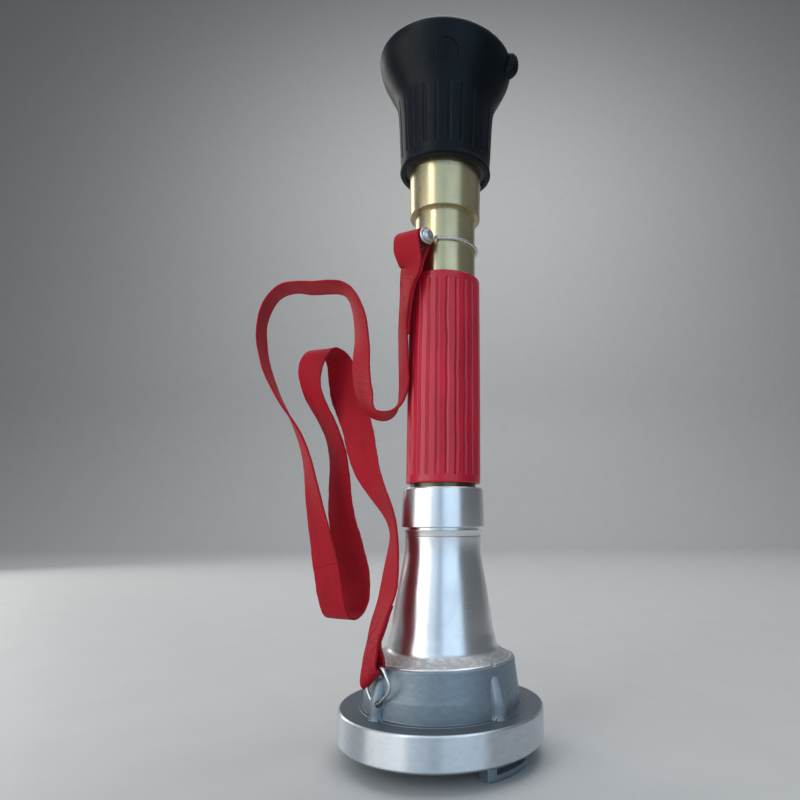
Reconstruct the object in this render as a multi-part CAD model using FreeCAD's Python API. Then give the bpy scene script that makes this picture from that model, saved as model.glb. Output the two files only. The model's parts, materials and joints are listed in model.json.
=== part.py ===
import FreeCAD, Part
import os
from math import sin, cos, tan, radians, degrees, pi, sqrt, hypot, atan2

# Hand-held fire hose nozzle. Millimetres. Origin: centre of the coupling's face,
# +Z along the waterway towards the spray head, -Y is the front.

V = FreeCAD.Vector

# ---------------------------------------------------------------- dimensions
# coupling
RING_R = 56.0            # coupling ring outside radius
RING_H = 17.0            # coupling ring height
HUB_TOP = 41.0           # top of the spanner hub
LUG_DISTANCE_R = 40.5    # inner radius of the two lugs (81 mm lug distance)
LUG_LIP_R = 49.6         # outer radius of the lug lips
LUG_DROP = 8.4           # how far the lugs stand below the face
LUG_AZ = (30.0, 66.0)    # azimuth span of the first lug, from the front towards +X
SLOT_AZ = 128.0          # start of the entry window; the locking slot runs below it
SLOT_SPAN = 42.0
RIB_AZ = (-45.0, 45.0, 135.0, 225.0)
RIB_R = 48.0             # outside radius of the ribs at the ring
GASKET_RI, GASKET_RO = 29.2, 37.0
INLET_R = 29.0           # clear waterway at the face
THREAD_R = 36.5          # hub thread, modelled as a plain fit

# cone, collar, barrel
CONE_TOP = 111.4
THROAT_R = 16.8
TUBE_R = 19.2            # barrel tube outside radius
TUBE_CLEAR = 0.05
COLLAR_TOP = 133.8
TUBE_Z0, TUBE_Z1 = 94.0, 323.0

# grip
GRIP_Z0, GRIP_Z1 = 136.3, 263.0
GRIP_R = 22.0
GRIP_RIBS = 24
GRIP_GROOVE = 0.75

# head
BASE_Z0 = 305.6
BASE_R = 23.1            # slideway of the twist head
SLEEVE_BORE_R = 23.2
LAND_R = 20.0
SEAL_BORE_R = 20.12
LEAD = 20.0              # head advance per turn
TURN = 225.0             # head turn, degrees
TRAVEL = LEAD * TURN / 360.0
PIN_R = 2.4
PIN_Z = 361.0
ORIFICE_R = 11.0
PLATE_Z = 404.0
RIM_Z = 422.6

# clamp and strap hardware
CLAMP_Z = 284.0
CLAMP_WIRE_R = 0.95
CLAMP_RING_R = 20.2
EYE_N = 25.2             # distance of the clamp bolt from the axis
EYE_Z = 282.4
EYE_U = 11.8             # eyes' offset along the bolt
EYE_R = 4.2
BOLT_R = 2.0
SPACER_R = 3.1
STRAP_W = 20.0
STRAP_T = 1.5
LRING_WIRE_R = 0.8
LRING_N = 44.8           # rib hole distance from the axis
LRING_Z = 24.0
LRING_HALF = (9.5, 7.0)  # half length and half width of the ring's centre line
LRING_CORNER = 5.0
LRING_TILT = 38.0
LRING_LEAN = 4.0

# Centre line of the webbing and its width direction: x, y, z, wx, wy, wz
STRAP_PATH = [
    (-21.1, -15.7, 258.6, 0.510, -0.800, -0.250),
    (-22.0, -14.0, 252.9, 0.437, -0.855, -0.279),
    (-23.4, -11.2, 240.0, 0.353, -0.914, -0.198),
    (-24.1, -9.5, 229.3, 0.344, -0.928, -0.143),
    (-24.4, -8.2, 218.4, 0.359, -0.928, -0.101),
    (-24.2, -6.9, 204.9, 0.370, -0.926, -0.068),
    (-24.1, -5.8, 193.4, 0.354, -0.925, -0.136),
    (-27.2, -4.0, 183.2, 0.139, -0.926, -0.351),
    (-37.7, -0.3, 177.9, -0.287, -0.938, 0.193),
    (-45.4, 2.4, 184.1, 0.319, -0.861, 0.396),
    (-49.9, 4.3, 195.0, 0.562, -0.780, 0.274),
    (-52.3, 6.0, 207.9, 0.644, -0.750, 0.150),
    (-52.9, 7.2, 218.6, 0.635, -0.764, 0.112),
    (-53.6, 8.4, 229.6, 0.573, -0.806, 0.148),
    (-55.3, 9.9, 240.8, 0.464, -0.856, 0.226),
    (-59.3, 12.3, 253.4, 0.253, -0.905, 0.343),
    (-64.9, 15.3, 262.4, -0.014, -0.919, 0.393),
    (-73.3, 19.0, 267.8, -0.327, -0.934, 0.144),
    (-85.9, 23.2, 269.4, -0.270, -0.961, 0.056),
    (-96.6, 26.1, 270.5, -0.246, -0.966, 0.081),
    (-107.8, 29.2, 271.6, -0.276, -0.961, -0.033),
    (-119.0, 32.6, 267.0, -0.097, -0.968, -0.234),
    (-125.0, 34.7, 258.2, 0.019, -0.986, -0.167),
    (-127.7, 35.8, 247.5, 0.033, -0.997, -0.064),
    (-127.1, 36.1, 233.9, 0.003, -1.000, 0.012),
    (-124.5, 35.8, 222.8, -0.010, -0.999, 0.046),
    (-120.8, 35.1, 212.5, -0.009, -0.998, 0.068),
    (-115.0, 34.2, 200.9, 0.017, -0.996, 0.087),
    (-109.4, 33.5, 191.4, 0.064, -0.992, 0.106),
    (-103.3, 33.0, 181.9, 0.138, -0.980, 0.143),
    (-96.7, 32.3, 170.3, 0.261, -0.947, 0.187),
    (-92.4, 31.7, 160.1, 0.378, -0.906, 0.190),
    (-89.2, 31.0, 149.6, 0.470, -0.865, 0.176),
    (-86.2, 30.2, 136.7, 0.564, -0.807, 0.175),
    (-83.6, 29.6, 125.8, 0.641, -0.742, 0.198),
    (-80.9, 29.0, 115.0, 0.720, -0.658, 0.220),
    (-77.6, 28.4, 102.1, 0.803, -0.551, 0.228),
    (-75.1, 27.9, 91.5, 0.853, -0.476, 0.213),
    (-72.8, 27.6, 80.8, 0.883, -0.436, 0.176),
    (-70.7, 27.9, 69.5, 0.888, -0.444, 0.121),
    (-67.3, 31.4, 57.3, 0.838, -0.541, 0.076),
    (-61.8, 39.0, 56.2, 0.821, -0.569, -0.034),
    (-58.2, 44.1, 64.6, 0.919, -0.392, -0.041),
    (-58.7, 44.5, 78.8, 0.964, -0.230, 0.136),
    (-61.1, 44.0, 90.0, 0.951, -0.195, 0.242),
    (-64.2, 43.4, 100.6, 0.934, -0.222, 0.280),
    (-67.8, 43.0, 113.0, 0.922, -0.312, 0.227),
    (-69.9, 43.0, 123.8, 0.897, -0.424, 0.128),
    (-71.0, 43.1, 135.0, 0.838, -0.543, 0.056),
    (-71.9, 42.4, 148.5, 0.759, -0.651, -0.016),
    (-73.0, 40.4, 159.3, 0.720, -0.688, -0.086),
    (-75.2, 36.7, 169.4, 0.703, -0.704, -0.099),
    (-79.5, 31.7, 180.7, 0.662, -0.749, -0.008),
    (-84.2, 28.0, 189.8, 0.652, -0.754, 0.073),
    (-88.3, 25.5, 199.6, 0.744, -0.660, 0.103),
    (-89.8, 24.5, 213.5, 0.896, -0.441, -0.054),
    (-86.8, 26.8, 224.2, 0.850, -0.449, -0.276),
    (-80.2, 32.9, 228.7, 0.678, -0.735, -0.028),
    (-73.5, 38.1, 220.5, 0.905, -0.355, 0.235),
    (-71.2, 37.5, 209.0, 0.952, -0.227, 0.205),
    (-68.3, 34.6, 198.5, 0.917, -0.080, 0.390),
    (-63.0, 30.0, 187.4, 0.893, 0.035, 0.450),
    (-58.6, 25.7, 178.3, 0.924, -0.003, 0.383),
    (-55.2, 21.2, 168.6, 0.934, -0.115, 0.339),
    (-52.3, 16.6, 158.8, 0.885, -0.248, 0.393),
    (-48.0, 11.3, 147.5, 0.718, -0.429, 0.548),
    (-43.3, 6.7, 138.8, 0.504, -0.590, 0.631),
    (-37.9, 1.8, 130.5, 0.276, -0.710, 0.648),
    (-31.5, -4.7, 120.7, 0.136, -0.801, 0.583),
    (-27.8, -9.7, 111.7, 0.225, -0.863, 0.452),
    (-26.8, -13.4, 101.5, 0.370, -0.890, 0.266),
    (-27.5, -16.8, 88.3, 0.506, -0.849, 0.154),
    (-28.5, -19.1, 77.4, 0.548, -0.834, 0.064),
    (-32.4, -20.8, 67.3, 0.356, -0.928, -0.111),
    (-41.4, -22.6, 56.8, 0.350, -0.936, 0.029),
    (-39.6, -26.2, 48.3, 0.381, -0.491, 0.783),
]

os.makedirs("parts", exist_ok=True)

S2 = sqrt(0.5)
U = V(S2, -S2, 0)        # tangential direction at the front-left rib and clamp
N = V(-S2, -S2, 0)       # radial direction there, outwards
K = V(0, 0, 1)


# ------------------------------------------------------------------- helpers
def vec(a, b, c=0.0):
    """Point at a along U, b along N, c along Z."""
    return U * a + N * b + K * c


def polar(r, az, z):
    """Azimuth is measured from -Y (front) towards +X."""
    return V(r * sin(radians(az)), -r * cos(radians(az)), z)


def rounded(pts):
    """Closed wire in the XZ plane through (r, z) or (r, z, fillet) corners."""
    n = len(pts)
    ends = []
    for i in range(n):
        p0, p1, p2 = pts[i - 1], pts[i], pts[(i + 1) % n]
        f = p1[2] if len(p1) > 2 else 0.0
        a = V(p0[0], 0, p0[1])
        b = V(p1[0], 0, p1[1])
        c = V(p2[0], 0, p2[1])
        if f <= 0:
            ends.append((b, None, b))
            continue
        d1 = (a - b)
        d2 = (c - b)
        l1, l2 = d1.Length, d2.Length
        d1.normalize()
        d2.normalize()
        half = d1.getAngle(d2) / 2.0
        t = min(f / tan(half), 0.49 * l1, 0.49 * l2)
        r = t * tan(half)
        bis = (d1 + d2)
        bis.normalize()
        centre = b + bis * (r / sin(half))
        ends.append((b + d1 * t, centre - bis * r, b + d2 * t))
    edges = []
    for i in range(n):
        s, m, e = ends[i]
        if m is not None:
            edges.append(Part.Arc(s, m, e).toShape())
        nxt = ends[(i + 1) % n][0]
        if (nxt - e).Length > 1e-6:
            edges.append(Part.LineSegment(e, nxt).toShape())
    return Part.Wire(edges)


def rev(pts, angle=360.0):
    face = Part.Face(rounded(pts))
    return face.revolve(V(0, 0, 0), V(0, 0, 1), angle)


def sector(pts, az0, az1):
    """Profile revolved from azimuth az0 to az1."""
    s = rev(pts, az1 - az0)
    s.rotate(V(0, 0, 0), V(0, 0, 1), az0 - 90.0)
    return s


def box_rz(r0, r1, z0, z1):
    return [(r0, z0), (r1, z0), (r1, z1), (r0, z1)]


def turned(outer, inner):
    """Body of revolution between a smooth outer curve and a smooth inner curve.
    Both are lists of (r, z) from bottom to top."""
    edges = []

    def curve(pts):
        if len(pts) == 2:
            return Part.LineSegment(V(pts[0][0], 0, pts[0][1]), V(pts[1][0], 0, pts[1][1])).toShape()
        c = Part.BSplineCurve()
        c.interpolate([V(p[0], 0, p[1]) for p in pts])
        return c.toShape()

    chain = []
    for seg in outer:
        chain.append(seg)
    for seg in reversed(inner):
        chain.append(list(reversed(seg)))
    last = None
    first = chain[0][0]
    for seg in chain:
        if last is not None and hypot(seg[0][0] - last[0], seg[0][1] - last[1]) > 1e-6:
            edges.append(Part.LineSegment(V(last[0], 0, last[1]), V(seg[0][0], 0, seg[0][1])).toShape())
        edges.append(curve(seg))
        last = seg[-1]
    if hypot(first[0] - last[0], first[1] - last[1]) > 1e-6:
        edges.append(Part.LineSegment(V(last[0], 0, last[1]), V(first[0], 0, first[1])).toShape())
    face = Part.Face(Part.Wire(edges))
    return face.revolve(V(0, 0, 0), V(0, 0, 1), 360)


def sweep(points, r, closed=False):
    """Round wire of radius r through straight runs joined by arcs.
    points: list of edges already joined end to end."""
    path = Part.Wire(points)
    e = path.OrderedEdges[0]
    p = e.valueAt(e.FirstParameter)
    d = e.tangentAt(e.FirstParameter)
    prof = Part.Wire([Part.Circle(p, d, r).toShape()])
    s = path.makePipeShell([prof], True, False)
    return s


def save(name, shape):
    solids = shape.Solids
    if len(solids) == 1:
        shape = solids[0]
    else:
        shape = Part.makeCompound(solids)
    for s in solids:
        assert s.isValid(), name
        assert s.Volume > 0, name
    shape.exportStep("parts/%s.step" % name)
    b = shape.BoundBox
    print("%-18s %2d solid(s) %10.1f mm3  z %.1f..%.1f  r<=%.1f" % (name, len(solids), shape.Volume, b.ZMin, b.ZMax, max(abs(b.XMin), b.XMax, abs(b.YMin), b.YMax)))


# ------------------------------------------------------------ hose coupling
ring = rev([(INLET_R, 0), (RING_R - 1.5, 0), (RING_R, 1.5), (RING_R, RING_H - 0.8),
            (RING_R - 0.8, RING_H), (42.9, RING_H, 0.5), (42.6, 26.0), (42.1, 29.0), (41.6, 33.0),
            (41.0, 37.5), (40.6, HUB_TOP, 0.7), (39.0, HUB_TOP), (39.0, 38.0),
            (THREAD_R, 38.0), (THREAD_R, 12.0), (INLET_R, 12.0)])
ribs = []
for az in RIB_AZ:
    wires = []
    for z, ro, w in ((RING_H - 0.5, RIB_R, 4.9), (25.0, 47.3, 4.0), (29.0, 46.4, 3.8), (32.0, 45.2, 3.4), (34.5, 43.8, 3.0), (36.6, 42.0, 2.6)):
        c = ro - w
        a, b, m = V(38.5, -w, z), V(c, -w, z), V(ro, 0, z)
        d, e = V(c, w, z), V(38.5, w, z)
        wires.append(Part.Wire([Part.LineSegment(a, b).toShape(), Part.Arc(b, m, d).toShape(),
                                Part.LineSegment(d, e).toShape(), Part.LineSegment(e, a).toShape()]))
    rib = Part.makeLoft(wires, True, False)
    rib = rib.cut(Part.makeCylinder(39.6, 30, V(0, 0, 10)))
    rib.rotate(V(0, 0, 0), V(0, 0, 1), az - 90.0)
    ribs.append(rib)
lugs = []
for turn in (0.0, 180.0):
    a0, a1 = LUG_AZ[0] + turn, LUG_AZ[1] + turn
    ri, ro, dz = LUG_DISTANCE_R, LUG_LIP_R, LUG_DROP
    lip = sector([(ri, 0.6), (ri, -dz, 0.6), (ro, -dz, 0.9), (ro, -5.5, 0.5), (45.0, -5.25, 0.8), (45.0, 0.6)], a0 + 4.0, a1)
    block = sector([(ri, 0.6), (ri, -dz, 0.6), (ro, -dz, 0.9), (ro, 0.6)], a0, a0 + 6.0)
    # lower corners of the lug's ends are rounded off, more at the leading end
    mid, half = (a0 + a1) / 2.0, radians((a1 - a0) / 2.0)
    x = 49.6 * sin(half) + 0.4
    ra, rb = 6.2, 3.0
    w = Part.Wire([Part.LineSegment(V(-x, 30, 3), V(-x, 30, -dz + ra)).toShape(),
                   Part.Arc(V(-x, 30, -dz + ra), V(-x + ra * (1 - sqrt(0.5)), 30, -dz + ra * (1 - sqrt(0.5))), V(-x + ra, 30, -dz)).toShape(),
                   Part.LineSegment(V(-x + ra, 30, -dz), V(x - rb, 30, -dz)).toShape(),
                   Part.Arc(V(x - rb, 30, -dz), V(x - rb * (1 - sqrt(0.5)), 30, -dz + rb * (1 - sqrt(0.5))), V(x, 30, -dz + rb)).toShape(),
                   Part.LineSegment(V(x, 30, -dz + rb), V(x, 30, 3)).toShape(), Part.LineSegment(V(x, 30, 3), V(-x, 30, 3)).toShape()])
    keep = Part.Face(w).extrude(V(0, 30, 0))
    keep.rotate(V(0, 0, 0), V(0, 0, 1), 180.0 + mid)
    lugs.append(lip.fuse(block).common(keep))
coupling = ring.fuse(ribs + lugs)
cuts = []
for turn in (0.0, 180.0):
    s = SLOT_AZ + turn
    cuts.append(sector(box_rz(40.1, 50.7, -1.0, 12.2), s, s + SLOT_SPAN))
    cuts.append(sector(box_rz(40.1, 45.7, -1.0, 12.2), s - 40.0, s + 1.0))
    cuts.append(sector(box_rz(40.1, 50.7, 5.2, 12.2), s - 40.0, s + 1.0))
# seal groove, machining line on the ring's back, bore chamfer
cuts.append(rev([(INLET_R - 1, -1), (GASKET_RO, -1), (GASKET_RO, 2.0), (GASKET_RO + 1.2, 2.6), (GASKET_RO + 1.2, 7.0), (INLET_R - 1, 7.0)]))
cuts.append(rev([(45.0, RING_H + 1), (45.0, RING_H - 0.35), (45.6, RING_H - 0.35), (45.6, RING_H + 1)]))
# cross hole of the strap ring
hole = Part.makeCylinder(2.0, 16.0, vec(-8.0, LRING_N, LRING_Z + 0.75), U)
cuts.append(hole)
# axial lock screw at the joint of hub and cone
SCREW_AZ = 47.0
screw_hole = Part.makeCylinder(1.5, 8.0, polar(38.85, SCREW_AZ, 35.0), K)
cuts.append(screw_hole)
coupling = coupling.cut(cuts)
coupling = coupling.removeSplitter()
save("lug_coupling", coupling)

gasket = rev([(GASKET_RI, -1.0, 0.4), (30.6, -1.0, 0.4), (31.6, 0.0), (GASKET_RO - 0.2, 0.0), (GASKET_RO - 0.2, 2.1),
              (GASKET_RO + 1.1, 2.8), (GASKET_RO + 1.1, 6.95), (33.0, 6.95), (33.0, 5.0), (31.4, 4.0), (31.4, 6.95), (GASKET_RI, 6.95)])
save("face_gasket", gasket)

screw = Part.makeCylinder(1.45, 5.4, polar(38.85, SCREW_AZ, 35.2), K)
screw = screw.makeChamfer(0.3, [e for e in screw.Edges if e.Curve.TypeId == "Part::GeomCircle"])
hexa = Part.Face(Part.makePolygon([polar(38.85, SCREW_AZ, 39.4) + V(0.85 * cos(radians(60 * i)), 0.85 * sin(radians(60 * i)), 0) for i in range(7)]))
screw = screw.cut(hexa.extrude(V(0, 0, 3)))
save("hub_set_screw", screw)

# ------------------------------------------------------------ cone
cone = turned(
    [
        [(36.4, 14.0), (36.4, 38.05)],
        [(38.9, 38.05), (38.9, 41.4)],
        [(38.9, 41.4), (37.2, 42.3), (35.4, 43.4), (33.4, 44.5), (31.8, 45.7), (30.4, 49.9), (29.2, 54.2),
         (28.5, 58.4), (27.85, 62.7), (27.15, 67.1), (26.4, 71.4), (25.7, 75.8), (24.95, 80.2), (24.15, 84.6),
         (23.3, 89.1), (22.55, 93.6), (22.05, 98.1), (21.95, 102.6), (22.15, 106.2)],
        [(21.95, 106.25), (21.97, 106.6)],
        [(22.18, 106.65), (22.45, 108.4), (22.8, 109.7)],
        [(22.6, 109.9), (21.0, 109.9)],
        [(21.0, CONE_TOP), (19.25, CONE_TOP)],
    ],
    [
        [(31.0, 14.0), (30.4, 30.0), (28.2, 43.0), (25.4, 56.0), (22.4, 70.0), (19.6, 82.0), (17.5, 90.0), (THROAT_R, 92.0)],
        [(19.25, 92.0), (19.25, CONE_TOP)],
    ],
)
cone = cone.cut([screw_hole])
save("cone_body", cone)
save("cone_seal_ring", rev([(30.2, 12.05, 0.3), (36.2, 12.05, 0.3), (36.2, 13.95, 0.3), (30.2, 13.95, 0.3)]))

# ------------------------------------------------------------ barrel
collar = rev([(19.25, CONE_TOP + 0.02), (23.9, CONE_TOP + 0.02), (24.12, CONE_TOP + 0.3), (24.05, 116.0), (23.95, 121.0), (23.75, 127.9),
              (23.5, 132.9, 0.4), (22.9, COLLAR_TOP), (19.9, COLLAR_TOP), (19.25, COLLAR_TOP - 0.6)])
save("lock_collar", collar)
tube = rev([(THROAT_R, TUBE_Z0, 0.3), (TUBE_R, TUBE_Z0, 0.5), (TUBE_R, TUBE_Z1, 0.5), (THROAT_R, TUBE_Z1, 0.3)])
save("barrel_tube", tube)
save("barrel_seal_ring", rev([(17.0, 92.05, 0.3), (19.1, 92.05, 0.3), (19.1, 93.95, 0.3), (17.0, 93.95, 0.3)]))

# ------------------------------------------------------------ grip
grip = rev([(TUBE_R + 0.02, GRIP_Z0), (21.4, GRIP_Z0, 0.6), (GRIP_R, GRIP_Z0 + 1.2, 0.5), (GRIP_R, GRIP_Z1 - 1.0, 0.8),
            (21.0, GRIP_Z1, 0.8), (TUBE_R + 0.02, GRIP_Z1)])
grooves = []
for i in range(GRIP_RIBS):
    a = 360.0 / GRIP_RIBS * i + 7.5
    g0 = Part.makeBox(4.0, 1.7, GRIP_Z1 - GRIP_Z0 - 10.6, V(GRIP_R - GRIP_GROOVE, -0.85, GRIP_Z0 + 5.3))
    g0 = g0.fuse([Part.makeCylinder(0.85, 4.0, V(GRIP_R - GRIP_GROOVE, 0, z), V(1, 0, 0)) for z in (GRIP_Z0 + 5.3, GRIP_Z1 - 5.3)])
    g0 = g0.removeSplitter()
    g0.rotate(V(0, 0, 0), V(0, 0, 1), a)
    grooves.append(g0)
grip = grip.cut(grooves)
save("grip_sleeve", grip)

# ------------------------------------------------------------ head base
base = rev([(19.25, BASE_Z0), (22.0, BASE_Z0), (22.4, BASE_Z0 + 0.5), (23.05, 333.5), (BASE_R, 334.5), (BASE_R, 377.6), (BASE_R - 0.4, 378.0),
            (LAND_R, 378.0), (LAND_R, 393.3), (18.3, 393.3), (18.3, 395.9), (LAND_R, 395.9), (LAND_R, 396.5), (LAND_R - 0.5, 397.0),
            (THROAT_R, 397.0), (THROAT_R, 330.0), (19.25, 330.0)])
# two start cam grooves: right-handed, 180 degrees apart
margin = 10.0
helix_h = LEAD * (TURN + 2 * margin) / 360.0
for start in (0.0, 180.0):
    helix = Part.makeHelix(LEAD, helix_h, BASE_R)
    prof = Part.makePolygon([V(20.1, 0, -2.55), V(24.5, 0, -2.55), V(24.5, 0, 2.55), V(20.1, 0, 2.55), V(20.1, 0, -2.55)])
    groove = Part.Wire(helix.Edges).makePipeShell([prof], True, True)
    groove.translate(V(0, 0, PIN_Z - LEAD * margin / 360.0))
    groove.rotate(V(0, 0, 0), V(0, 0, 1), start - margin)
    base = base.cut(groove)
save("head_base", base)
save("base_seal_ring", rev([(17.0, 323.05, 0.3), (19.1, 323.05, 0.3), (19.1, 324.95, 0.3), (17.0, 324.95, 0.3)]))

spider = rev(box_rz(THROAT_R, 19.1, 325.0, 329.95))
core = rev([(0, 324.0), (3.0, 324.0, 1.5), (5.0, 329.0, 2.0), (3.5, 336.0, 1.0), (3.5, 396.9), (0, 396.9)])
vanes = []
for i in range(3):
    v = Part.makeBox(17.3, 2.2, 4.95, V(0, -1.1, 325.0))
    v.rotate(V(0, 0, 0), V(0, 0, 1), 120.0 * i + 30.0)
    vanes.append(v)
spider = spider.fuse([core] + vanes).cut(Part.makeCylinder(2.02, 12.0, V(0, 0, 386.0)))
save("stem_spider", spider)

plug = rev([(2.1, 396.92), (5.0, 396.92), (12.9, 400.3), (12.9, 401.55), (9.2, 401.55), (9.2, 404.6), (8.3, 408.6),
            (6.6, 411.4, 1.0), (4.0, 411.8), (4.0, 409.2), (2.1, 409.2)])
save("flow_plug", plug)
save("plug_seal", rev([(9.25, 401.6, 0.4), (12.8, 401.6, 0.4), (12.8, 403.95, 0.6), (9.25, 403.95, 0.4)]))
pscrew = rev([(0, 387.0), (1.98, 387.0, 0.5), (1.98, 409.22), (3.7, 409.22), (3.7, 410.6, 0.5), (2.4, 411.6, 0.6), (0, 411.8)])
pscrew = pscrew.cut(Part.makeBox(8.0, 1.0, 1.3, V(-4.0, -0.5, 410.8)))
save("plug_screw", pscrew)
save("head_seal_ring", Part.makeTorus(19.2, 0.9, V(0, 0, 394.6), V(0, 0, 1)))

# ------------------------------------------------------------ twist head
sleeve = rev([(SLEEVE_BORE_R, 338.0), (26.0, 338.0), (26.0, 384.0), (27.6, 388.5), (30.0, 393.2), (33.6, 399.5), (36.8, 405.5),
              (38.0, 410.0), (38.0, 415.0, 0.6), (27.0, 415.0), (19.0, 411.6), (ORIFICE_R + 1.0, 408.6), (ORIFICE_R, 407.4), (ORIFICE_R, PLATE_Z),
              (SEAL_BORE_R, PLATE_Z), (SEAL_BORE_R, 380.2), (21.2, 379.0), (SLEEVE_BORE_R, 379.0), (SLEEVE_BORE_R, 346.0), (24.8, 346.0),
              (24.8, 343.0), (SLEEVE_BORE_R, 343.0)])
pins = []
for a in (0.0, 180.0):
    d = V(cos(radians(a)), sin(radians(a)), 0)
    sleeve = sleeve.cut(Part.makeCylinder(PIN_R + 0.02, 10.0, d * 20.0 + K * PIN_Z, d))
    pins.append(Part.makeCylinder(PIN_R, 5.5, d * 20.4 + K * PIN_Z, d))
save("head_sleeve", sleeve)
save("cam_pins", Part.makeCompound(pins))
save("head_wiper_ring", rev([(23.14, 343.1, 0.2), (24.7, 343.1, 0.3), (24.7, 345.9, 0.3), (23.14, 345.9, 0.2)]))

bumper = turned(
    [
        [(26.05, 336.5), (28.2, 336.5)],
        [(28.2, 336.5), (29.3, 337.1), (29.6, 338.0), (29.35, 339.2), (29.15, 341.0), (29.4, 347.0), (29.85, 354.0), (30.2, 361.0),
         (30.5, 367.0), (30.9, 373.0), (31.4, 379.0), (32.3, 385.0), (34.0, 390.6), (36.6, 396.0), (39.4, 401.6), (42.0, 407.0),
         (43.7, 412.0), (44.5, 416.0), (44.4, 417.9), (43.8, 419.2), (42.9, 420.4), (41.7, 421.5), (40.6, 422.2), (39.6, RIM_Z)],
        [(39.6, RIM_Z), (37.2, RIM_Z)],
        [(37.2, RIM_Z), (36.5, 421.9), (36.3, 420.6)],
    ],
    [
        [(26.02, 336.5), (26.02, 384.0)],
        [(26.02, 384.0), (27.62, 388.5)],
        [(27.62, 388.5), (30.02, 393.2)],
        [(30.02, 393.2), (33.62, 399.5)],
        [(33.62, 399.5), (36.82, 405.5)],
        [(36.82, 405.5), (38.02, 410.0)],
        [(38.02, 410.0), (38.02, 415.05)],
        [(36.2, 415.05), (36.3, 420.6)],
    ],
)
flutes = []
fr = 2.4
runs = [V(31.22, 0, 345.5), V(32.85, 0, 374.0), V(33.95, 0, 383.0)]
flute = Part.makeSphere(fr, runs[0])
for a, b in zip(runs[:-1], runs[1:]):
    flute = flute.fuse([Part.makeCylinder(fr, (b - a).Length, a, b - a), Part.makeSphere(fr, b)])
for i in range(24):
    f = flute.copy()
    f.rotate(V(0, 0, 0), V(0, 0, 1), 15.0 * i + 7.5)
    flutes.append(f)
bumper = bumper.cut(flutes)


# low arch-topped pad at the front and a finger lug at the right side of the rim
def pad_section(z, rs, half, h, ri):
    e = sqrt(rs * rs - half * half) + h
    a, b, m = V(-half, -ri, z), V(-half, -e, z), V(0, -rs - h, z)
    c, d = V(half, -e, z), V(half, -ri, z)
    return Part.Wire([Part.LineSegment(a, b).toShape(), Part.Arc(b, m, c).toShape(), Part.LineSegment(c, d).toShape(), Part.LineSegment(d, a).toShape()])


pad = Part.makeLoft([pad_section(388.0, 33.1, 6.0, -0.6, 29.5), pad_section(393.0, 35.1, 6.1, -0.2, 31.5), pad_section(397.0, 37.1, 6.2, 0.3, 33.5),
                     pad_section(400.0, 38.6, 6.1, 0.6, 35.0), pad_section(403.0, 40.1, 5.2, 0.75, 36.8), pad_section(404.8, 40.95, 3.6, 0.7, 38.0),
                     pad_section(405.8, 41.4, 1.6, 0.4, 38.8)], True, False)
pad.rotate(V(0, 0, 0), V(0, 0, 1), -4.0)


def knob_section(z, ro, half, ri):
    a, b, m = V(-half - 1.6, -ri, z), V(-half, -ro + 1.6, z), V(0, -ro, z)
    c, d = V(half, -ro + 1.6, z), V(half + 1.6, -ri, z)
    return Part.Wire([Part.LineSegment(a, b).toShape(), Part.Arc(b, m, c).toShape(), Part.LineSegment(c, d).toShape(), Part.LineSegment(d, a).toShape()])


knob = Part.makeLoft([knob_section(404.5, 42.6, 2.6, 39.6), knob_section(407.0, 46.4, 3.6, 39.6), knob_section(410.0, 48.9, 4.2, 39.6),
                      knob_section(414.5, 49.7, 4.4, 39.6), knob_section(418.5, 49.3, 4.2, 39.6), knob_section(420.8, 47.4, 3.4, 39.6)], True, False)
knob.rotate(V(0, 0, 0), V(0, 0, 1), 79.0)
bumper = bumper.fuse([pad, knob])
bumper = bumper.removeSplitter()
save("bumper_cover", bumper)

teeth = rev([(30.2, 415.02), (36.0, 415.02), (36.0, 417.2), (30.2, 417.2)])
tooth = []
for i in range(24):
    t = Part.Face(Part.makePolygon([V(30.6, -1.3, 417.0), V(36.0, -1.9, 417.0), V(36.0, 1.9, 417.0), V(30.6, 1.3, 417.0), V(30.6, -1.3, 417.0)])).extrude(V(0, 0, 4.0))
    t.rotate(V(0, 0, 0), V(0, 0, 1), 15.0 * i)
    tooth.append(t)
teeth = teeth.fuse(tooth).common(Part.makeCylinder(36.0, 10.0, V(0, 0, 414)))
teeth = teeth.removeSplitter()
save("spray_teeth_ring", teeth)

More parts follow.
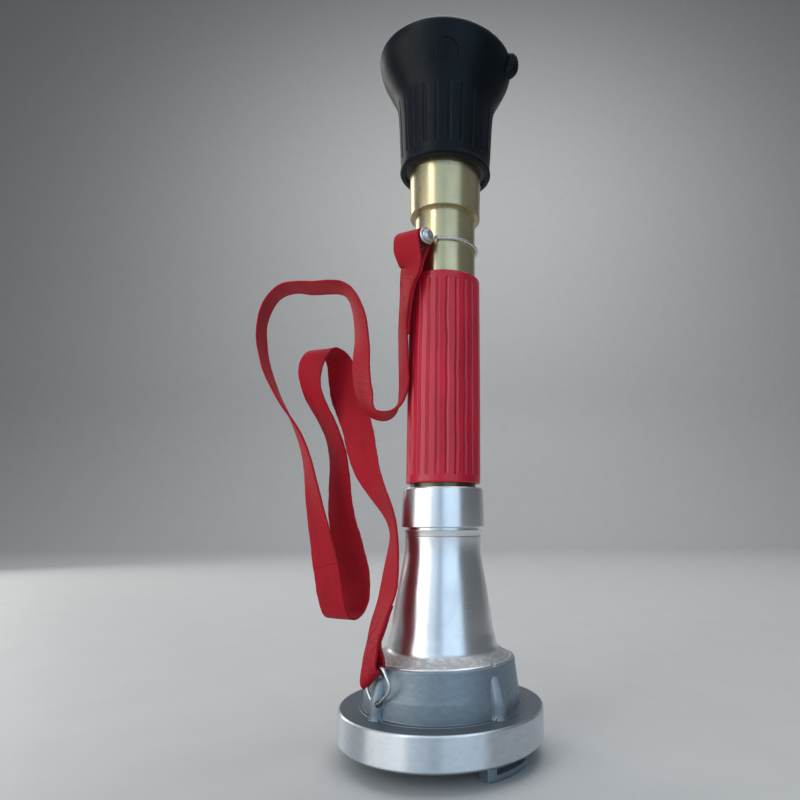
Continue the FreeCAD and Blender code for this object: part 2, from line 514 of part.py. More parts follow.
# ------------------------------------------------------------ clamp
def clamp_path():
    th = radians(40.0)                      # where the ring wire leaves the tube
    ph = radians(50.0)                      # slope of the run into the eye
    pu, pn = CLAMP_RING_R * sin(th), CLAMP_RING_R * cos(th)
    r1 = (pu - EYE_U) / (1.0 - sin(th))
    n1 = pn + r1 * cos(th)
    dx = EYE_N - EYE_R * sin(ph) - n1
    dz = CLAMP_Z - (EYE_Z - EYE_R * cos(ph))
    det = sin(ph) * sin(ph) - cos(ph) * (1.0 - cos(ph))
    r2 = (dx * sin(ph) - dz * cos(ph)) / det
    edges = [Part.Arc(vec(-pu, pn, CLAMP_Z), vec(0, -CLAMP_RING_R, CLAMP_Z), vec(pu, pn, CLAMP_Z)).toShape()]
    for s in (1.0, -1.0):
        cu, cn = EYE_U + r1, n1
        mid = radians(180.0 + 25.0)
        a = vec(s * pu, pn, CLAMP_Z)
        b = vec(s * (cu + r1 * cos(mid)), cn + r1 * sin(mid), CLAMP_Z)
        c = vec(s * EYE_U, n1, CLAMP_Z)
        d = vec(s * EYE_U, n1 + r2 * sin(ph / 2), CLAMP_Z - r2 * (1 - cos(ph / 2)))
        e = vec(s * EYE_U, n1 + r2 * sin(ph), CLAMP_Z - r2 * (1 - cos(ph)))
        def eye(deg):
            return vec(s * EYE_U, EYE_N + EYE_R * cos(radians(deg)), EYE_Z + EYE_R * sin(radians(deg)))
        start = -90.0 - degrees(ph)
        side = [Part.Arc(a, b, c).toShape(), Part.Arc(c, d, e).toShape(),
                Part.LineSegment(e, eye(start)).toShape(), Part.Arc(eye(start), eye(5.0), eye(150.0)).toShape()]
        if s > 0:
            edges += side
        else:
            rev_side = [Part.Arc(eye(150.0), eye(5.0), eye(start)).toShape(), Part.LineSegment(eye(start), e).toShape(),
                        Part.Arc(e, d, c).toShape(), Part.Arc(c, b, a).toShape()]
            edges = rev_side + edges
    return edges
clamp = sweep(clamp_path(), CLAMP_WIRE_R)
save("clamp_wire", clamp)

def along_u(profile):
    """Body of revolution about the bolt axis; profile is (radius, position along U)."""
    s = rev(profile)
    m = FreeCAD.Matrix()
    # local Z -> U, local X -> N
    xa, za = N, U
    ya = za.cross(xa)
    o = vec(0, EYE_N, EYE_Z)
    m.A11, m.A12, m.A13, m.A14 = xa.x, ya.x, za.x, o.x
    m.A21, m.A22, m.A23, m.A24 = xa.y, ya.y, za.y, o.y
    m.A31, m.A32, m.A33, m.A34 = xa.z, ya.z, za.z, o.z
    return s.transformed(m)
bolt = along_u([(0, -15.9), (1.5, -15.9), (BOLT_R, -15.5), (BOLT_R, 12.85), (3.95, 12.85), (3.9, 13.35), (3.3, 14.15), (2.0, 14.75), (0, 14.95)])
slot_c = vec(14.1, EYE_N, EYE_Z)
bolt = bolt.cut(Part.makeCylinder(0.9, 3.0, slot_c, U))
save("clamp_bolt", bolt)
nut_f = Part.Face(Part.makePolygon([vec(-15.25, EYE_N + 4.04 * cos(radians(60 * i)), EYE_Z + 4.04 * sin(radians(60 * i))) for i in range(7)]))
nut = nut_f.extrude(U * 2.4).cut(Part.makeCylinder(BOLT_R + 0.02, 8.0, vec(-18.0, EYE_N, EYE_Z), U))
save("clamp_nut", nut)
save("clamp_spacer", along_u([(BOLT_R + 0.05, -10.8), (3.95, -10.8), (3.95, -10.3), (SPACER_R, -10.3), (SPACER_R, 10.3), (3.95, 10.3), (3.95, 10.8), (BOLT_R + 0.05, 10.8)]))

# ------------------------------------------------------------ lower ring
lean, tilt = radians(LRING_LEAN), radians(LRING_TILT)
UP = K * cos(lean) + N * sin(lean)
P_DIR = U * cos(tilt) + UP * sin(tilt)
Q_DIR = U * (-sin(tilt)) + UP * cos(tilt)
hl, hw = LRING_HALF
rc = LRING_CORNER
low_a = -(hl - rc) * cos(tilt) + (hw - rc) * sin(tilt)
low_b = -(hl - rc) * sin(tilt) - (hw - rc) * cos(tilt) - rc
R_CENTRE = vec(0, LRING_N, LRING_Z) - U * low_a - UP * low_b
def rp(p, q):
    return R_CENTRE + P_DIR * p + Q_DIR * q
edges = [Part.LineSegment(rp(0, hw), rp(-(hl - rc), hw)).toShape()]
k = rc * sqrt(0.5)
for cx, cy, sx, sy in ((-(hl - rc), hw - rc, -1, 1), (-(hl - rc), -(hw - rc), -1, -1), (hl - rc, -(hw - rc), 1, -1), (hl - rc, hw - rc, 1, 1)):
    mid = rp(cx + sx * k, cy + sy * k)
    if sx * sy < 0:
        a, b = rp(cx, cy + sy * rc), rp(cx + sx * rc, cy)
    else:
        a, b = rp(cx + sx * rc, cy), rp(cx, cy + sy * rc)
    edges.append((a, mid, b))
path = [edges[0]]
last = rp(-(hl - rc), hw)
for a, m, b in edges[1:]:
    if (a - last).Length > 1e-6:
        path.append(Part.LineSegment(last, a).toShape())
    path.append(Part.Arc(a, m, b).toShape())
    last = b
path.append(Part.LineSegment(last, rp(0, hw)).toShape())
save("lower_wire_ring", sweep(path, LRING_WIRE_R))

# ------------------------------------------------------------ strap
def teardrop(origin, xdir, ydir, wdir, width, radius, length, gap, thick):
    """Folded end loop: band around origin, closing to two layers at length along ydir."""
    def pt(x, y):
        return origin + xdir * x + ydir * y - wdir * (width / 2.0)
    ro, ri = radius + thick / 2.0, radius - thick / 2.0
    outer = [Part.Arc(pt(-ro, 0), pt(0, -ro), pt(ro, 0)).toShape(),
             Part.LineSegment(pt(ro, 0), pt(thick + gap / 2, length)).toShape(),
             Part.LineSegment(pt(thick + gap / 2, length), pt(-thick - gap / 2, length)).toShape(),
             Part.LineSegment(pt(-thick - gap / 2, length), pt(-ro, 0)).toShape()]
    top = length * (ri / (ri + 0.9)) - 1.5
    inner = [Part.Arc(pt(-ri, 0), pt(0, -ri), pt(ri, 0)).toShape(),
             Part.LineSegment(pt(ri, 0), pt(0.05, top)).toShape(),
             Part.LineSegment(pt(0.05, top), pt(-0.05, top)).toShape(),
             Part.LineSegment(pt(-0.05, top), pt(-ri, 0)).toShape()]
    f = Part.Face([Part.Wire(outer), Part.Wire(inner)])
    f.validate()
    return f.extrude(wdir * width)

# upper loop: hangs from the clamp bolt, legs run down and slightly outwards
down = (N * 1.3 - K * 17.2)
down.normalize()
side = U.cross(down)
side.normalize()
save("strap_upper_loop", teardrop(vec(0, EYE_N, EYE_Z + 0.2), side, down, U, STRAP_W, 4.85, 17.1, 0.0, STRAP_T))
# lower loop: around the sloping bar of the wire ring
mdir = P_DIR.cross(Q_DIR)
save("strap_lower_loop", teardrop(rp(0, hw) - Q_DIR * 0.6, mdir, Q_DIR, P_DIR, 15.0, 2.95, 10.6, 0.0, STRAP_T))

pts = [V(*r[:3]) for r in STRAP_PATH]
length = 0.0
total = sum((pts[i + 1] - pts[i]).Length for i in range(len(pts) - 1))
shape_pts = []
for i, row in enumerate(STRAP_PATH):
    p = pts[i]
    w = V(*row[3:])
    t = (pts[min(i + 1, len(pts) - 1)] - pts[max(i - 1, 0)])
    t.normalize()
    w = w - t * w.dot(t)
    w.normalize()
    n = t.cross(w)
    n.normalize()
    if i:
        length += (p - pts[i - 1]).Length
    th = 3.0 if length < 41.0 else STRAP_T
    width = STRAP_W - 5.0 * max(0.0, min(1.0, (length - (total - 26.0)) / 26.0))
    shape_pts.append((p, w * (width / 2.0), n * (th / 2.0)))
def strip(sections):
    q = [(p - a - b, p + a - b, p + a + b, p - a + b) for p, a, b in sections]
    faces = []
    def tri(a, b, c):
        faces.append(Part.Face(Part.makePolygon([a, b, c, a])))
    for i in range(len(q) - 1):
        for j in range(4):
            k = (j + 1) % 4
            tri(q[i][j], q[i + 1][k], q[i][k])
            tri(q[i][j], q[i + 1][j], q[i + 1][k])
    tri(q[0][0], q[0][1], q[0][2])
    tri(q[0][0], q[0][2], q[0][3])
    tri(q[-1][0], q[-1][2], q[-1][1])
    tri(q[-1][0], q[-1][3], q[-1][2])
    sh = Part.makeShell(faces)
    s = Part.makeSolid(sh)
    if s.Volume < 0:
        s.reverse()
    return s
save("strap_webbing", strip(shape_pts))
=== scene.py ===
import json
import math

import bpy
import numpy as np
from mathutils import Matrix, Vector


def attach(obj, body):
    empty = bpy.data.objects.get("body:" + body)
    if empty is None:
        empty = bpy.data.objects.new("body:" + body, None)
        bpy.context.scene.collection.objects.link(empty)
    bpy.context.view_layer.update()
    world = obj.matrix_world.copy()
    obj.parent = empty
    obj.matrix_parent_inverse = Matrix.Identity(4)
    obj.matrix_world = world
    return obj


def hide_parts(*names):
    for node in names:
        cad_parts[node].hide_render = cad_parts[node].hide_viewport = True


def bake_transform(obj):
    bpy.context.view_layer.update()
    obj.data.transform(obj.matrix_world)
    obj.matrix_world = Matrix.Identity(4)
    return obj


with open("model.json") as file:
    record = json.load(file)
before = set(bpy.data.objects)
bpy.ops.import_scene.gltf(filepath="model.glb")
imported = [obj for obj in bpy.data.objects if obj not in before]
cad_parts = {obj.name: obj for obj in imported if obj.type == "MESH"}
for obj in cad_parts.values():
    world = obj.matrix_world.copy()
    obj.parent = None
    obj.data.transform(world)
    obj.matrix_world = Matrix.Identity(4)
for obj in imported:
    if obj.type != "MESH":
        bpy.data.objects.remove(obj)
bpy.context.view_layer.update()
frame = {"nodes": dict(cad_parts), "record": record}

NODES = frame["nodes"]
scene = bpy.context.scene
MM = 0.001


# ------------------------------------------------------------------ node helpers
class Graph:
    """A material's node tree, with short calls for the nodes used below."""

    def __init__(self, name):
        self.mat = bpy.data.materials.new(name)
        self.mat.use_nodes = True
        self.nt = self.mat.node_tree
        self.nt.nodes.clear()
        self.out = self.nt.nodes.new("ShaderNodeOutputMaterial")
        self.bsdf = self.nt.nodes.new("ShaderNodeBsdfPrincipled")
        self.link(self.bsdf.outputs[0], self.out.inputs[0])
        self._pos = None

    def link(self, a, b):
        self.nt.links.new(a, b)

    def put(self, socket, value):
        if isinstance(value, bpy.types.NodeSocket):
            self.link(value, socket)
        elif value is not None:
            if socket.type == "RGBA" and len(value) == 3:
                value = (*value, 1.0)
            socket.default_value = value

    def set(self, **values):
        names = {"color": "Base Color", "metallic": "Metallic", "rough": "Roughness", "normal": "Normal",
                 "aniso": "Anisotropic", "aniso_rot": "Anisotropic Rotation", "tangent": "Tangent", "spec": "Specular IOR Level",
                 "sheen": "Sheen Weight", "sheen_rough": "Sheen Roughness", "sheen_tint": "Sheen Tint", "coat": "Coat Weight",
                 "coat_rough": "Coat Roughness", "sss": "Subsurface Weight", "sss_r": "Subsurface Radius", "sss_scale": "Subsurface Scale",
                 "ior": "IOR"}
        for k, v in values.items():
            self.put(self.bsdf.inputs[names[k]], v)

    def math(self, op, a, b=None, c=None, clamp=False):
        n = self.nt.nodes.new("ShaderNodeMath")
        n.operation = op
        n.use_clamp = clamp
        self.put(n.inputs[0], a)
        if b is not None:
            self.put(n.inputs[1], b)
        if c is not None:
            self.put(n.inputs[2], c)
        return n.outputs[0]

    def pos(self):
        """x, y, z and radius from the nozzle's axis, in millimetres."""
        if self._pos is None:
            g = self.nt.nodes.new("ShaderNodeTexCoord")
            s = self.nt.nodes.new("ShaderNodeSeparateXYZ")
            self.link(g.outputs["Object"], s.inputs[0])
            x, y, z = (self.math("MULTIPLY", s.outputs[i], 1000.0) for i in range(3))
            r = self.math("SQRT", self.math("ADD", self.math("MULTIPLY", x, x), self.math("MULTIPLY", y, y)))
            self._pos = (x, y, z, r)
        return self._pos

    def vec(self, x, y, z):
        n = self.nt.nodes.new("ShaderNodeCombineXYZ")
        for i, v in enumerate((x, y, z)):
            self.put(n.inputs[i], v)
        return n.outputs[0]

    def scaled(self, kx, ky, kz, ox=0.0):
        x, y, z, r = self.pos()
        return self.vec(self.math("MULTIPLY_ADD", x, kx, ox), self.math("MULTIPLY", y, ky), self.math("MULTIPLY", z, kz))

    def noise(self, vector, detail=3.0, rough=0.5, distort=0.0, scale=1.0):
        n = self.nt.nodes.new("ShaderNodeTexNoise")
        self.put(n.inputs["Vector"], vector)
        n.inputs["Scale"].default_value = scale
        n.inputs["Detail"].default_value = detail
        n.inputs["Roughness"].default_value = rough
        n.inputs["Distortion"].default_value = distort
        return n.outputs[0]

    def voronoi(self, vector, scale=1.0, feature="F1"):
        n = self.nt.nodes.new("ShaderNodeTexVoronoi")
        n.feature = feature
        self.put(n.inputs["Vector"], vector)
        n.inputs["Scale"].default_value = scale
        return n.outputs["Distance"]

    def ramp(self, fac, stops, interp="LINEAR"):
        n = self.nt.nodes.new("ShaderNodeValToRGB")
        n.color_ramp.interpolation = interp
        el = n.color_ramp.elements
        while len(el) < len(stops):
            el.new(0.5)
        for e, (p, col) in zip(el, stops):
            e.position = p
            e.color = (*col, 1.0) if not isinstance(col, float) else (col, col, col, 1.0)
        self.put(n.inputs[0], fac)
        return n.outputs[0]

    def span(self, value, a, b, lo=0.0, hi=1.0, smooth=True):
        n = self.nt.nodes.new("ShaderNodeMapRange")
        n.interpolation_type = "SMOOTHSTEP" if smooth else "LINEAR"
        self.put(n.inputs[0], value)
        for i, v in enumerate((a, b, lo, hi)):
            n.inputs[i + 1].default_value = v
        return n.outputs[0]

    def mix(self, fac, a, b):
        n = self.nt.nodes.new("ShaderNodeMix")
        n.data_type = "RGBA"
        self.put(n.inputs["Factor"], fac)
        self.put(n.inputs[6], a)
        self.put(n.inputs[7], b)
        return n.outputs[2]

    def bump(self, height, distance, strength=1.0, normal=None):
        n = self.nt.nodes.new("ShaderNodeBump")
        n.inputs["Strength"].default_value = strength
        n.inputs["Distance"].default_value = distance
        self.put(n.inputs["Height"], height)
        if normal is not None:
            self.put(n.inputs["Normal"], normal)
        return n.outputs[0]

    def bevel(self, radius, samples=4):
        n = self.nt.nodes.new("ShaderNodeBevel")
        n.samples = samples
        n.inputs["Radius"].default_value = radius
        return n.outputs[0]

    def edge(self, bevel_normal):
        """0 on faces, up to 1 on sharp edges."""
        g = self.nt.nodes.new("ShaderNodeNewGeometry")
        d = self.nt.nodes.new("ShaderNodeVectorMath")
        d.operation = "DOT_PRODUCT"
        self.link(bevel_normal, d.inputs[0])
        self.link(g.outputs["Normal"], d.inputs[1])
        return self.span(d.outputs["Value"], 0.985, 0.86)

    def tangent_z(self):
        n = self.nt.nodes.new("ShaderNodeTangent")
        n.direction_type = "RADIAL"
        n.axis = "Z"
        return n.outputs[0]

    def streaks(self, fine, coarse=0.03, seed=0.0):
        """Noise stretched round the axis, as turning marks are."""
        x, y, z, r = self.pos()
        k = self.math("MULTIPLY", self.math("ADD", z, r), fine)
        return self.noise(self.vec(self.math("MULTIPLY_ADD", x, coarse, seed), self.math("MULTIPLY", y, coarse), k), 4.0, 0.6)


def turned_metal(name, color, rough, wear, fine=3.0, bump=0.000012, aniso=0.35, tarnish=None, tarnish_amount=0.3, edge_gain=0.12):
    g = Graph(name)
    marks = g.streaks(fine)
    wide = g.streaks(fine * 0.22, 0.05, 7.0)
    blot = g.noise(g.scaled(0.11, 0.11, 0.075, 3.0), 5.0, 0.62)
    speck = g.noise(g.scaled(0.9, 0.9, 0.9, 9.0), 3.0, 0.6)
    bn = g.bevel(0.00035)
    e = g.edge(bn)
    dull = tuple(c * (1.0 - tarnish_amount) for c in color) if tarnish is None else tarnish
    col = g.mix(g.span(blot, 0.42, 0.72, 0.0, wear), color, dull)
    col = g.mix(g.span(speck, 0.66, 0.8, 0.0, 0.5 * wear), col, tuple(c * 0.45 for c in color))
    col = g.mix(g.math("MULTIPLY", e, edge_gain), col, (0.95, 0.95, 0.95))
    r = g.math("ADD", g.span(marks, 0.3, 0.7, rough * 0.93, rough * 1.08, False), g.span(blot, 0.4, 0.75, 0.0, 0.09 * wear * 2))
    h = g.math("ADD", g.math("MULTIPLY", marks, 0.55), g.math("MULTIPLY", wide, 0.9))
    g.set(color=col, metallic=1.0, rough=r, normal=g.bump(h, bump, 1.0, bn), aniso=aniso, aniso_rot=0.25, tangent=g.tangent_z())
    return g


# ------------------------------------------------------------------ materials
M = {}

# polished aluminium of the cone and collar: turning marks, faint handling scratches, painted shade darkening the
# foot of the cone at the hub
g = turned_metal("polished_aluminium", (0.84, 0.855, 0.87), 0.29, 0.30, 2.6, 0.0000016, 0.35, tarnish=(0.62, 0.645, 0.66))
x, y, z, r = g.pos()
foot_shade_mask = g.math("MULTIPLY", g.span(z, 46.6, 45.0), g.span(z, 41.5, 42.0))
foot_shade_mottle = g.noise(g.scaled(0.35, 0.35, 0.6, 12.0), 4.0, 0.6)
scribe = g.math("MULTIPLY", g.span(z, 106.15, 106.35), g.span(z, 106.75, 106.55))
base_in = g.bsdf.inputs["Base Color"].links[0].from_socket
rough_in = g.bsdf.inputs["Roughness"].links[0].from_socket
# painted shade: the foot of the cone (z 41.5–46.6 mm) is darkened towards dark grey in a noise-mottled pattern; the
# same mask also raises the roughness there
c2 = g.mix(g.math("MULTIPLY", foot_shade_mask, g.span(foot_shade_mottle, 0.3, 0.6, 0.25, 0.6)), base_in, (0.24, 0.25, 0.26))
c2 = g.mix(g.math("MULTIPLY", scribe, 0.55), c2, (0.16, 0.16, 0.16))
g.set(color=c2, rough=g.math("ADD", rough_in, g.math("MULTIPLY", foot_shade_mask, 0.30)))
M["polished_aluminium"] = g.mat

# machined and cast aluminium of the coupling
g = Graph("cast_grey")
x, y, z, r = g.pos()
rimmed = g.math("MULTIPLY", g.span(r, 55.0, 55.6), g.span(z, 17.2, 16.9))
lips = g.span(z, -0.2, -0.6)
marks = g.streaks(2.2)
wide = g.streaks(0.5, 0.045, 5.0)
cells = g.noise(g.scaled(0.22, 0.22, 0.5, 2.0), 5.0, 0.65)
grain = g.noise(g.scaled(1.6, 1.6, 1.6, 4.0), 5.0, 0.65)
pits = g.voronoi(g.scaled(0.8, 0.8, 0.8, 1.0), 1.0)
bn = g.bevel(0.0006)
e = g.edge(bn)
flat = g.math("MULTIPLY", g.span(z, 16.2, 16.9), g.span(z, 17.6, 17.1))
cast = g.mix(g.span(cells, 0.3, 0.7), (0.205, 0.255, 0.300), (0.245, 0.300, 0.345))
cast = g.mix(g.span(grain, 0.62, 0.74, 0.0, 0.35), cast, (0.13, 0.165, 0.20))
cast = g.mix(g.math("MULTIPLY", flat, 0.75), cast, (0.075, 0.095, 0.12))
cast = g.mix(g.math("MULTIPLY", e, 0.55), cast, (0.62, 0.66, 0.70))
bright = g.mix(g.span(cells, 0.38, 0.68), (0.74, 0.80, 0.85), (0.68, 0.74, 0.80))
col = g.mix(rimmed, cast, bright)
metal = g.math("MULTIPLY_ADD", rimmed, 0.45, 0.55)
rough_cast = g.span(grain, 0.3, 0.7, 0.36, 0.50)
rough_turn = g.math("ADD", g.span(marks, 0.3, 0.7, 0.33, 0.37), g.span(cells, 0.4, 0.7, 0.0, 0.025))
mixr = g.nt.nodes.new("ShaderNodeMix")
g.put(mixr.inputs[0], rimmed); g.put(mixr.inputs[2], rough_cast); g.put(mixr.inputs[3], rough_turn)
n1 = g.bump(g.math("ADD", g.math("MULTIPLY", grain, 0.7), g.math("MULTIPLY", cells, 1.2)), 0.00010, 0.75, bn)
n2 = g.bump(g.math("ADD", g.math("MULTIPLY", marks, 0.6), g.math("MULTIPLY", wide, 0.2)), 0.0000018, 1.0, bn)
mv = g.nt.nodes.new("ShaderNodeMix"); mv.data_type = "VECTOR"
g.put(mv.inputs[0], rimmed); g.put(mv.inputs[4], n1); g.put(mv.inputs[5], n2)
g.set(color=col, metallic=metal, rough=mixr.outputs[0], normal=mv.outputs[1], aniso=g.math("MULTIPLY", rimmed, 0.95), aniso_rot=0.25, tangent=g.tangent_z())
M["cast_grey"] = g.mat

# brass: pale, turned, lightly tarnished
g = turned_metal("brass", (0.70, 0.62, 0.385), 0.27, 0.45, 3.4, 0.0000016, 0.35, tarnish=(0.54, 0.46, 0.28), edge_gain=0.2)
x, y, z, r = g.pos()
# painted shade: the tube is darkened almost to black between the collar and the grip (z 112–140 mm), and the
# underside of the head base is darkened by half
collar_gap_shade = g.math("MULTIPLY", g.span(z, 140.0, 137.0), g.span(z, 112.0, 113.0))
head_underside_shade = g.math("MULTIPLY", g.span(z, 306.6, 305.9), g.span(r, 19.0, 20.0))
base_in = g.bsdf.inputs["Base Color"].links[0].from_socket
g.set(color=g.mix(g.math("MAXIMUM", g.math("MULTIPLY", collar_gap_shade, 0.85), g.math("MULTIPLY", head_underside_shade, 0.5)), base_in, (0.035, 0.028, 0.022)))
M["brass"] = g.mat

g = turned_metal("steel", (0.66, 0.67, 0.69), 0.27, 0.6, 3.0, 0.000012, 0.0, tarnish=(0.42, 0.41, 0.40))
M["steel"] = g.mat

g = turned_metal("black_anodised", (0.035, 0.037, 0.042), 0.34, 0.3, 3.0, 0.000012, 0.2, tarnish=(0.02, 0.02, 0.022), edge_gain=0.05)
g.set(metallic=0.7)
M["black_anodised"] = g.mat


def moulded(name, color, dark, rough, grain_scale, depth, dust=0.0, sheen=0.0, coat=0.0):
    g = Graph(name)
    fine = g.noise(g.scaled(grain_scale, grain_scale, grain_scale, 5.0), 4.0, 0.6)
    big = g.noise(g.scaled(0.055, 0.055, 0.04, 1.0), 4.0, 0.55)
    rub = g.noise(g.scaled(0.5, 0.5, 0.12, 8.0), 4.0, 0.6, 0.4)
    col = g.mix(g.span(big, 0.3, 0.7), color, dark)
    if dust:
        col = g.mix(g.span(rub, 0.58, 0.75, 0.0, dust), col, (0.20, 0.20, 0.19))
    rr = g.math("ADD", g.span(fine, 0.3, 0.7, rough * 0.88, rough * 1.12, False), g.span(rub, 0.45, 0.7, 0.0, 0.08))
    h = g.math("ADD", g.math("MULTIPLY", fine, 0.6), g.math("MULTIPLY", big, 2.0))
    g.set(color=col, rough=rr, normal=g.bump(h, depth, 0.8), sheen=sheen, coat=coat, coat_rough=0.35)
    return g


g = moulded("black_rubber", (0.0024, 0.0058, 0.0100), (0.0016, 0.0040, 0.0070), 0.40, 1.3, 0.00006, 0.03, 0.0)
# faint arch-topped outline moulded into the front of the bumper
x, y, z, r = g.pos()
side_mm = g.math("ADD", g.math("MULTIPLY", x, 0.99756), g.math("MULTIPLY", y, 0.06976))
side_mm = g.math("ADD", side_mm, 0.0)
up_mm = g.math("MAXIMUM", g.math("SUBTRACT", z, 400.2), 0.0)
arch = g.math("SUBTRACT", g.math("SQRT", g.math("ADD", g.math("MULTIPLY", side_mm, side_mm), g.math("MULTIPLY", up_mm, up_mm))), 6.4)
line = g.math("MULTIPLY", g.span(arch, -0.75, -0.1), g.span(arch, 0.55, -0.1))
line = g.math("MULTIPLY", g.math("MULTIPLY", line, g.span(z, 396.0, 402.0)), g.span(y, -20.0, -24.0))
normal_in = g.bsdf.inputs["Normal"].links[0].from_socket
g.set(spec=0.16, normal=g.bump(line, 0.00055, 1.0, normal_in))
M["black_rubber"] = g.mat
g = moulded("seal_rubber", (0.012, 0.012, 0.012), (0.008, 0.008, 0.008), 0.6, 1.1, 0.00008, 0.06)
M["seal_rubber"] = g.mat
g = moulded("black_plastic", (0.014, 0.014, 0.015), (0.009, 0.009, 0.010), 0.42, 1.6, 0.00003, 0.04)
M["black_plastic"] = g.mat
g = moulded("white_ptfe", (0.72, 0.71, 0.67), (0.62, 0.61, 0.56), 0.45, 1.2, 0.00003)
M["white_ptfe"] = g.mat

# raspberry grip rubber: satin, with painted shade darkening it down in the grooves and at the rolled-in ends
g = Graph("red_rubber")
x, y, z, r = g.pos()
fine = g.noise(g.scaled(1.5, 1.5, 1.5, 5.0), 4.0, 0.6)
big = g.noise(g.scaled(0.07, 0.07, 0.03, 1.0), 4.0, 0.55)
drag = g.noise(g.scaled(0.9, 0.9, 0.06, 2.0), 4.0, 0.6)
col = g.mix(g.span(big, 0.3, 0.7), (0.64, 0.007, 0.036), (0.50, 0.0055, 0.027))
# painted shade: darker red wherever the radius is under 21.6 mm, which is deep in the grooves and on the rolled-in
# ends
col = g.mix(g.span(r, 21.6, 21.25, 0.0, 0.30), col, (0.20, 0.003, 0.013))
col = g.mix(g.span(drag, 0.56, 0.78, 0.0, 0.30), col, (0.44, 0.026, 0.050))
col = g.mix(g.span(g.noise(g.scaled(1.1, 1.1, 0.9, 7.0), 3.0, 0.6), 0.68, 0.8, 0.0, 0.45), col, (0.16, 0.006, 0.012))
h = g.math("ADD", g.math("MULTIPLY", fine, 0.5), g.math("MULTIPLY", drag, 1.3))
g.set(color=col, rough=g.math("ADD", g.span(fine, 0.3, 0.7, 0.25, 0.32, False), g.span(drag, 0.45, 0.7, 0.0, 0.10)),
      normal=g.bump(h, 0.00006, 0.8), sss=0.06, sss_r=(0.4, 0.08, 0.06), sss_scale=0.002, sheen=0.06, sheen_tint=(1.0, 0.55, 0.6), spec=0.42, coat=0.15, coat_rough=0.20)
M["red_rubber"] = g.mat

# woven webbing. "web" holds u across the band in mm from its middle and v along it in mm
def webbing(name, base, deep, fibre):
    g = Graph(name)
    n = g.nt.nodes.new("ShaderNodeUVMap")
    n.uv_map = "web"
    s = g.nt.nodes.new("ShaderNodeSeparateXYZ")
    g.link(n.outputs[0], s.inputs[0])
    u = g.math("MULTIPLY", s.outputs[0], 1000.0)
    v = g.math("MULTIPLY", s.outputs[1], 1000.0)
    wob = g.noise(g.vec(g.math("MULTIPLY", u, 0.5), g.math("MULTIPLY", v, 0.18), 3.0), 3.0, 0.5)
    uu = g.math("MULTIPLY_ADD", wob, 0.22, u)
    vv = g.math("MULTIPLY_ADD", wob, 0.5, v)
    tau = 2 * math.pi
    cord, pick = 1.18, 1.30
    su = g.math("SINE", g.math("MULTIPLY", uu, tau / cord))
    cu = g.math("SINE", g.math("MULTIPLY", uu, tau / (2 * cord)))
    sv = g.math("SINE", g.math("MULTIPLY", vv, tau / pick))
    cross = g.math("MULTIPLY", cu, sv)
    warp = g.math("MULTIPLY_ADD", cross, 0.5, 0.5)
    ridge = g.math("MULTIPLY_ADD", su, 0.25, 0.5)
    strand = g.noise(g.vec(g.math("MULTIPLY", u, 7.0), g.math("MULTIPLY", v, 1.2), 1.0), 3.0, 0.6)
    fuzz = g.noise(g.vec(g.math("MULTIPLY", u, 2.6), g.math("MULTIPLY", v, 2.6), 6.0), 4.0, 0.7)
    h = g.math("ADD", g.math("MULTIPLY", warp, 0.75), g.math("MULTIPLY", ridge, 0.5))
    h = g.math("ADD", h, g.math("MULTIPLY", strand, 0.35))
    h = g.math("ADD", h, g.math("MULTIPLY", fuzz, 0.15))
    soil = g.noise(g.vec(g.math("MULTIPLY", u, 0.07), g.math("MULTIPLY", v, 0.035), 2.0), 5.0, 0.6)
    col = g.mix(g.span(h, 0.45, 1.15), deep, base)
    col = g.mix(g.span(strand, 0.55, 0.8, 0.0, 0.35), col, fibre)
    col = g.mix(g.span(soil, 0.45, 0.75, 0.0, 0.45), col, deep)
    g.set(color=col, rough=g.span(strand, 0.3, 0.7, 0.52, 0.68), normal=g.bump(h, 0.00020, 0.9),
          sheen=0.05, sheen_rough=0.35, sheen_tint=(1.0, 0.3, 0.3), spec=0.2)
    return g


M["red_webbing"] = webbing("red_webbing", (0.56, 0.008, 0.024), (0.20, 0.003, 0.009), (0.68, 0.022, 0.040)).mat
g = moulded("red_thread", (0.42, 0.012, 0.022), (0.26, 0.006, 0.014), 0.5, 4.0, 0.00006)
M["red_thread"] = g.mat

SLOT_OF = {p["node"]: p["material_slot"] for p in frame["record"]["subparts"]}
for name, ob in NODES.items():
    ob.data.materials.clear()
    ob.data.materials.append(M[SLOT_OF[name]])


# ------------------------------------------------------------------ mesh helpers
def add_mesh(name, verts, faces, mats, body=None, uv=None, mat_index=None, smooth=True):
    """verts in millimetres. uv is one (u, v) per face corner, in metres."""
    me = bpy.data.meshes.new(name)
    me.from_pydata([tuple(c * MM for c in v) for v in verts], [], [tuple(int(i) for i in f) for f in faces])
    for m in mats:
        me.materials.append(M[m])
    if uv is not None:
        layer = me.uv_layers.new(name="web")
        layer.data.foreach_set("uv", np.asarray(uv, np.float32).ravel())
    if mat_index is not None:
        me.polygons.foreach_set("material_index", np.asarray(mat_index, np.int32))
    me.polygons.foreach_set("use_smooth", [smooth] * len(me.polygons))
    me.update()
    me.validate()
    ob = bpy.data.objects.new(name, me)
    scene.collection.objects.link(ob)
    if body:
        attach(ob, body)
    return ob


def smooth01(t):
    t = np.clip(t, 0.0, 1.0)
    return t * t * (3 - 2 * t)


def wave(x, seed, terms=4):
    """A smooth repeatable wobble of about unit size."""
    rng = np.random.RandomState(seed)
    out = np.zeros_like(x, dtype=float)
    for k in range(terms):
        out += rng.uniform(0.4, 1.0) * np.sin(x * rng.uniform(0.5, 1.6) * (k + 1) * 0.7 + rng.uniform(0, 6.28)) / (k + 1)
    return out / 1.3


# ------------------------------------------------------------------ grip
GRIP_Z0, GRIP_Z1, GRIP_R, GROOVE = 136.3, 263.0, 22.0, 0.75
RIBS = 24


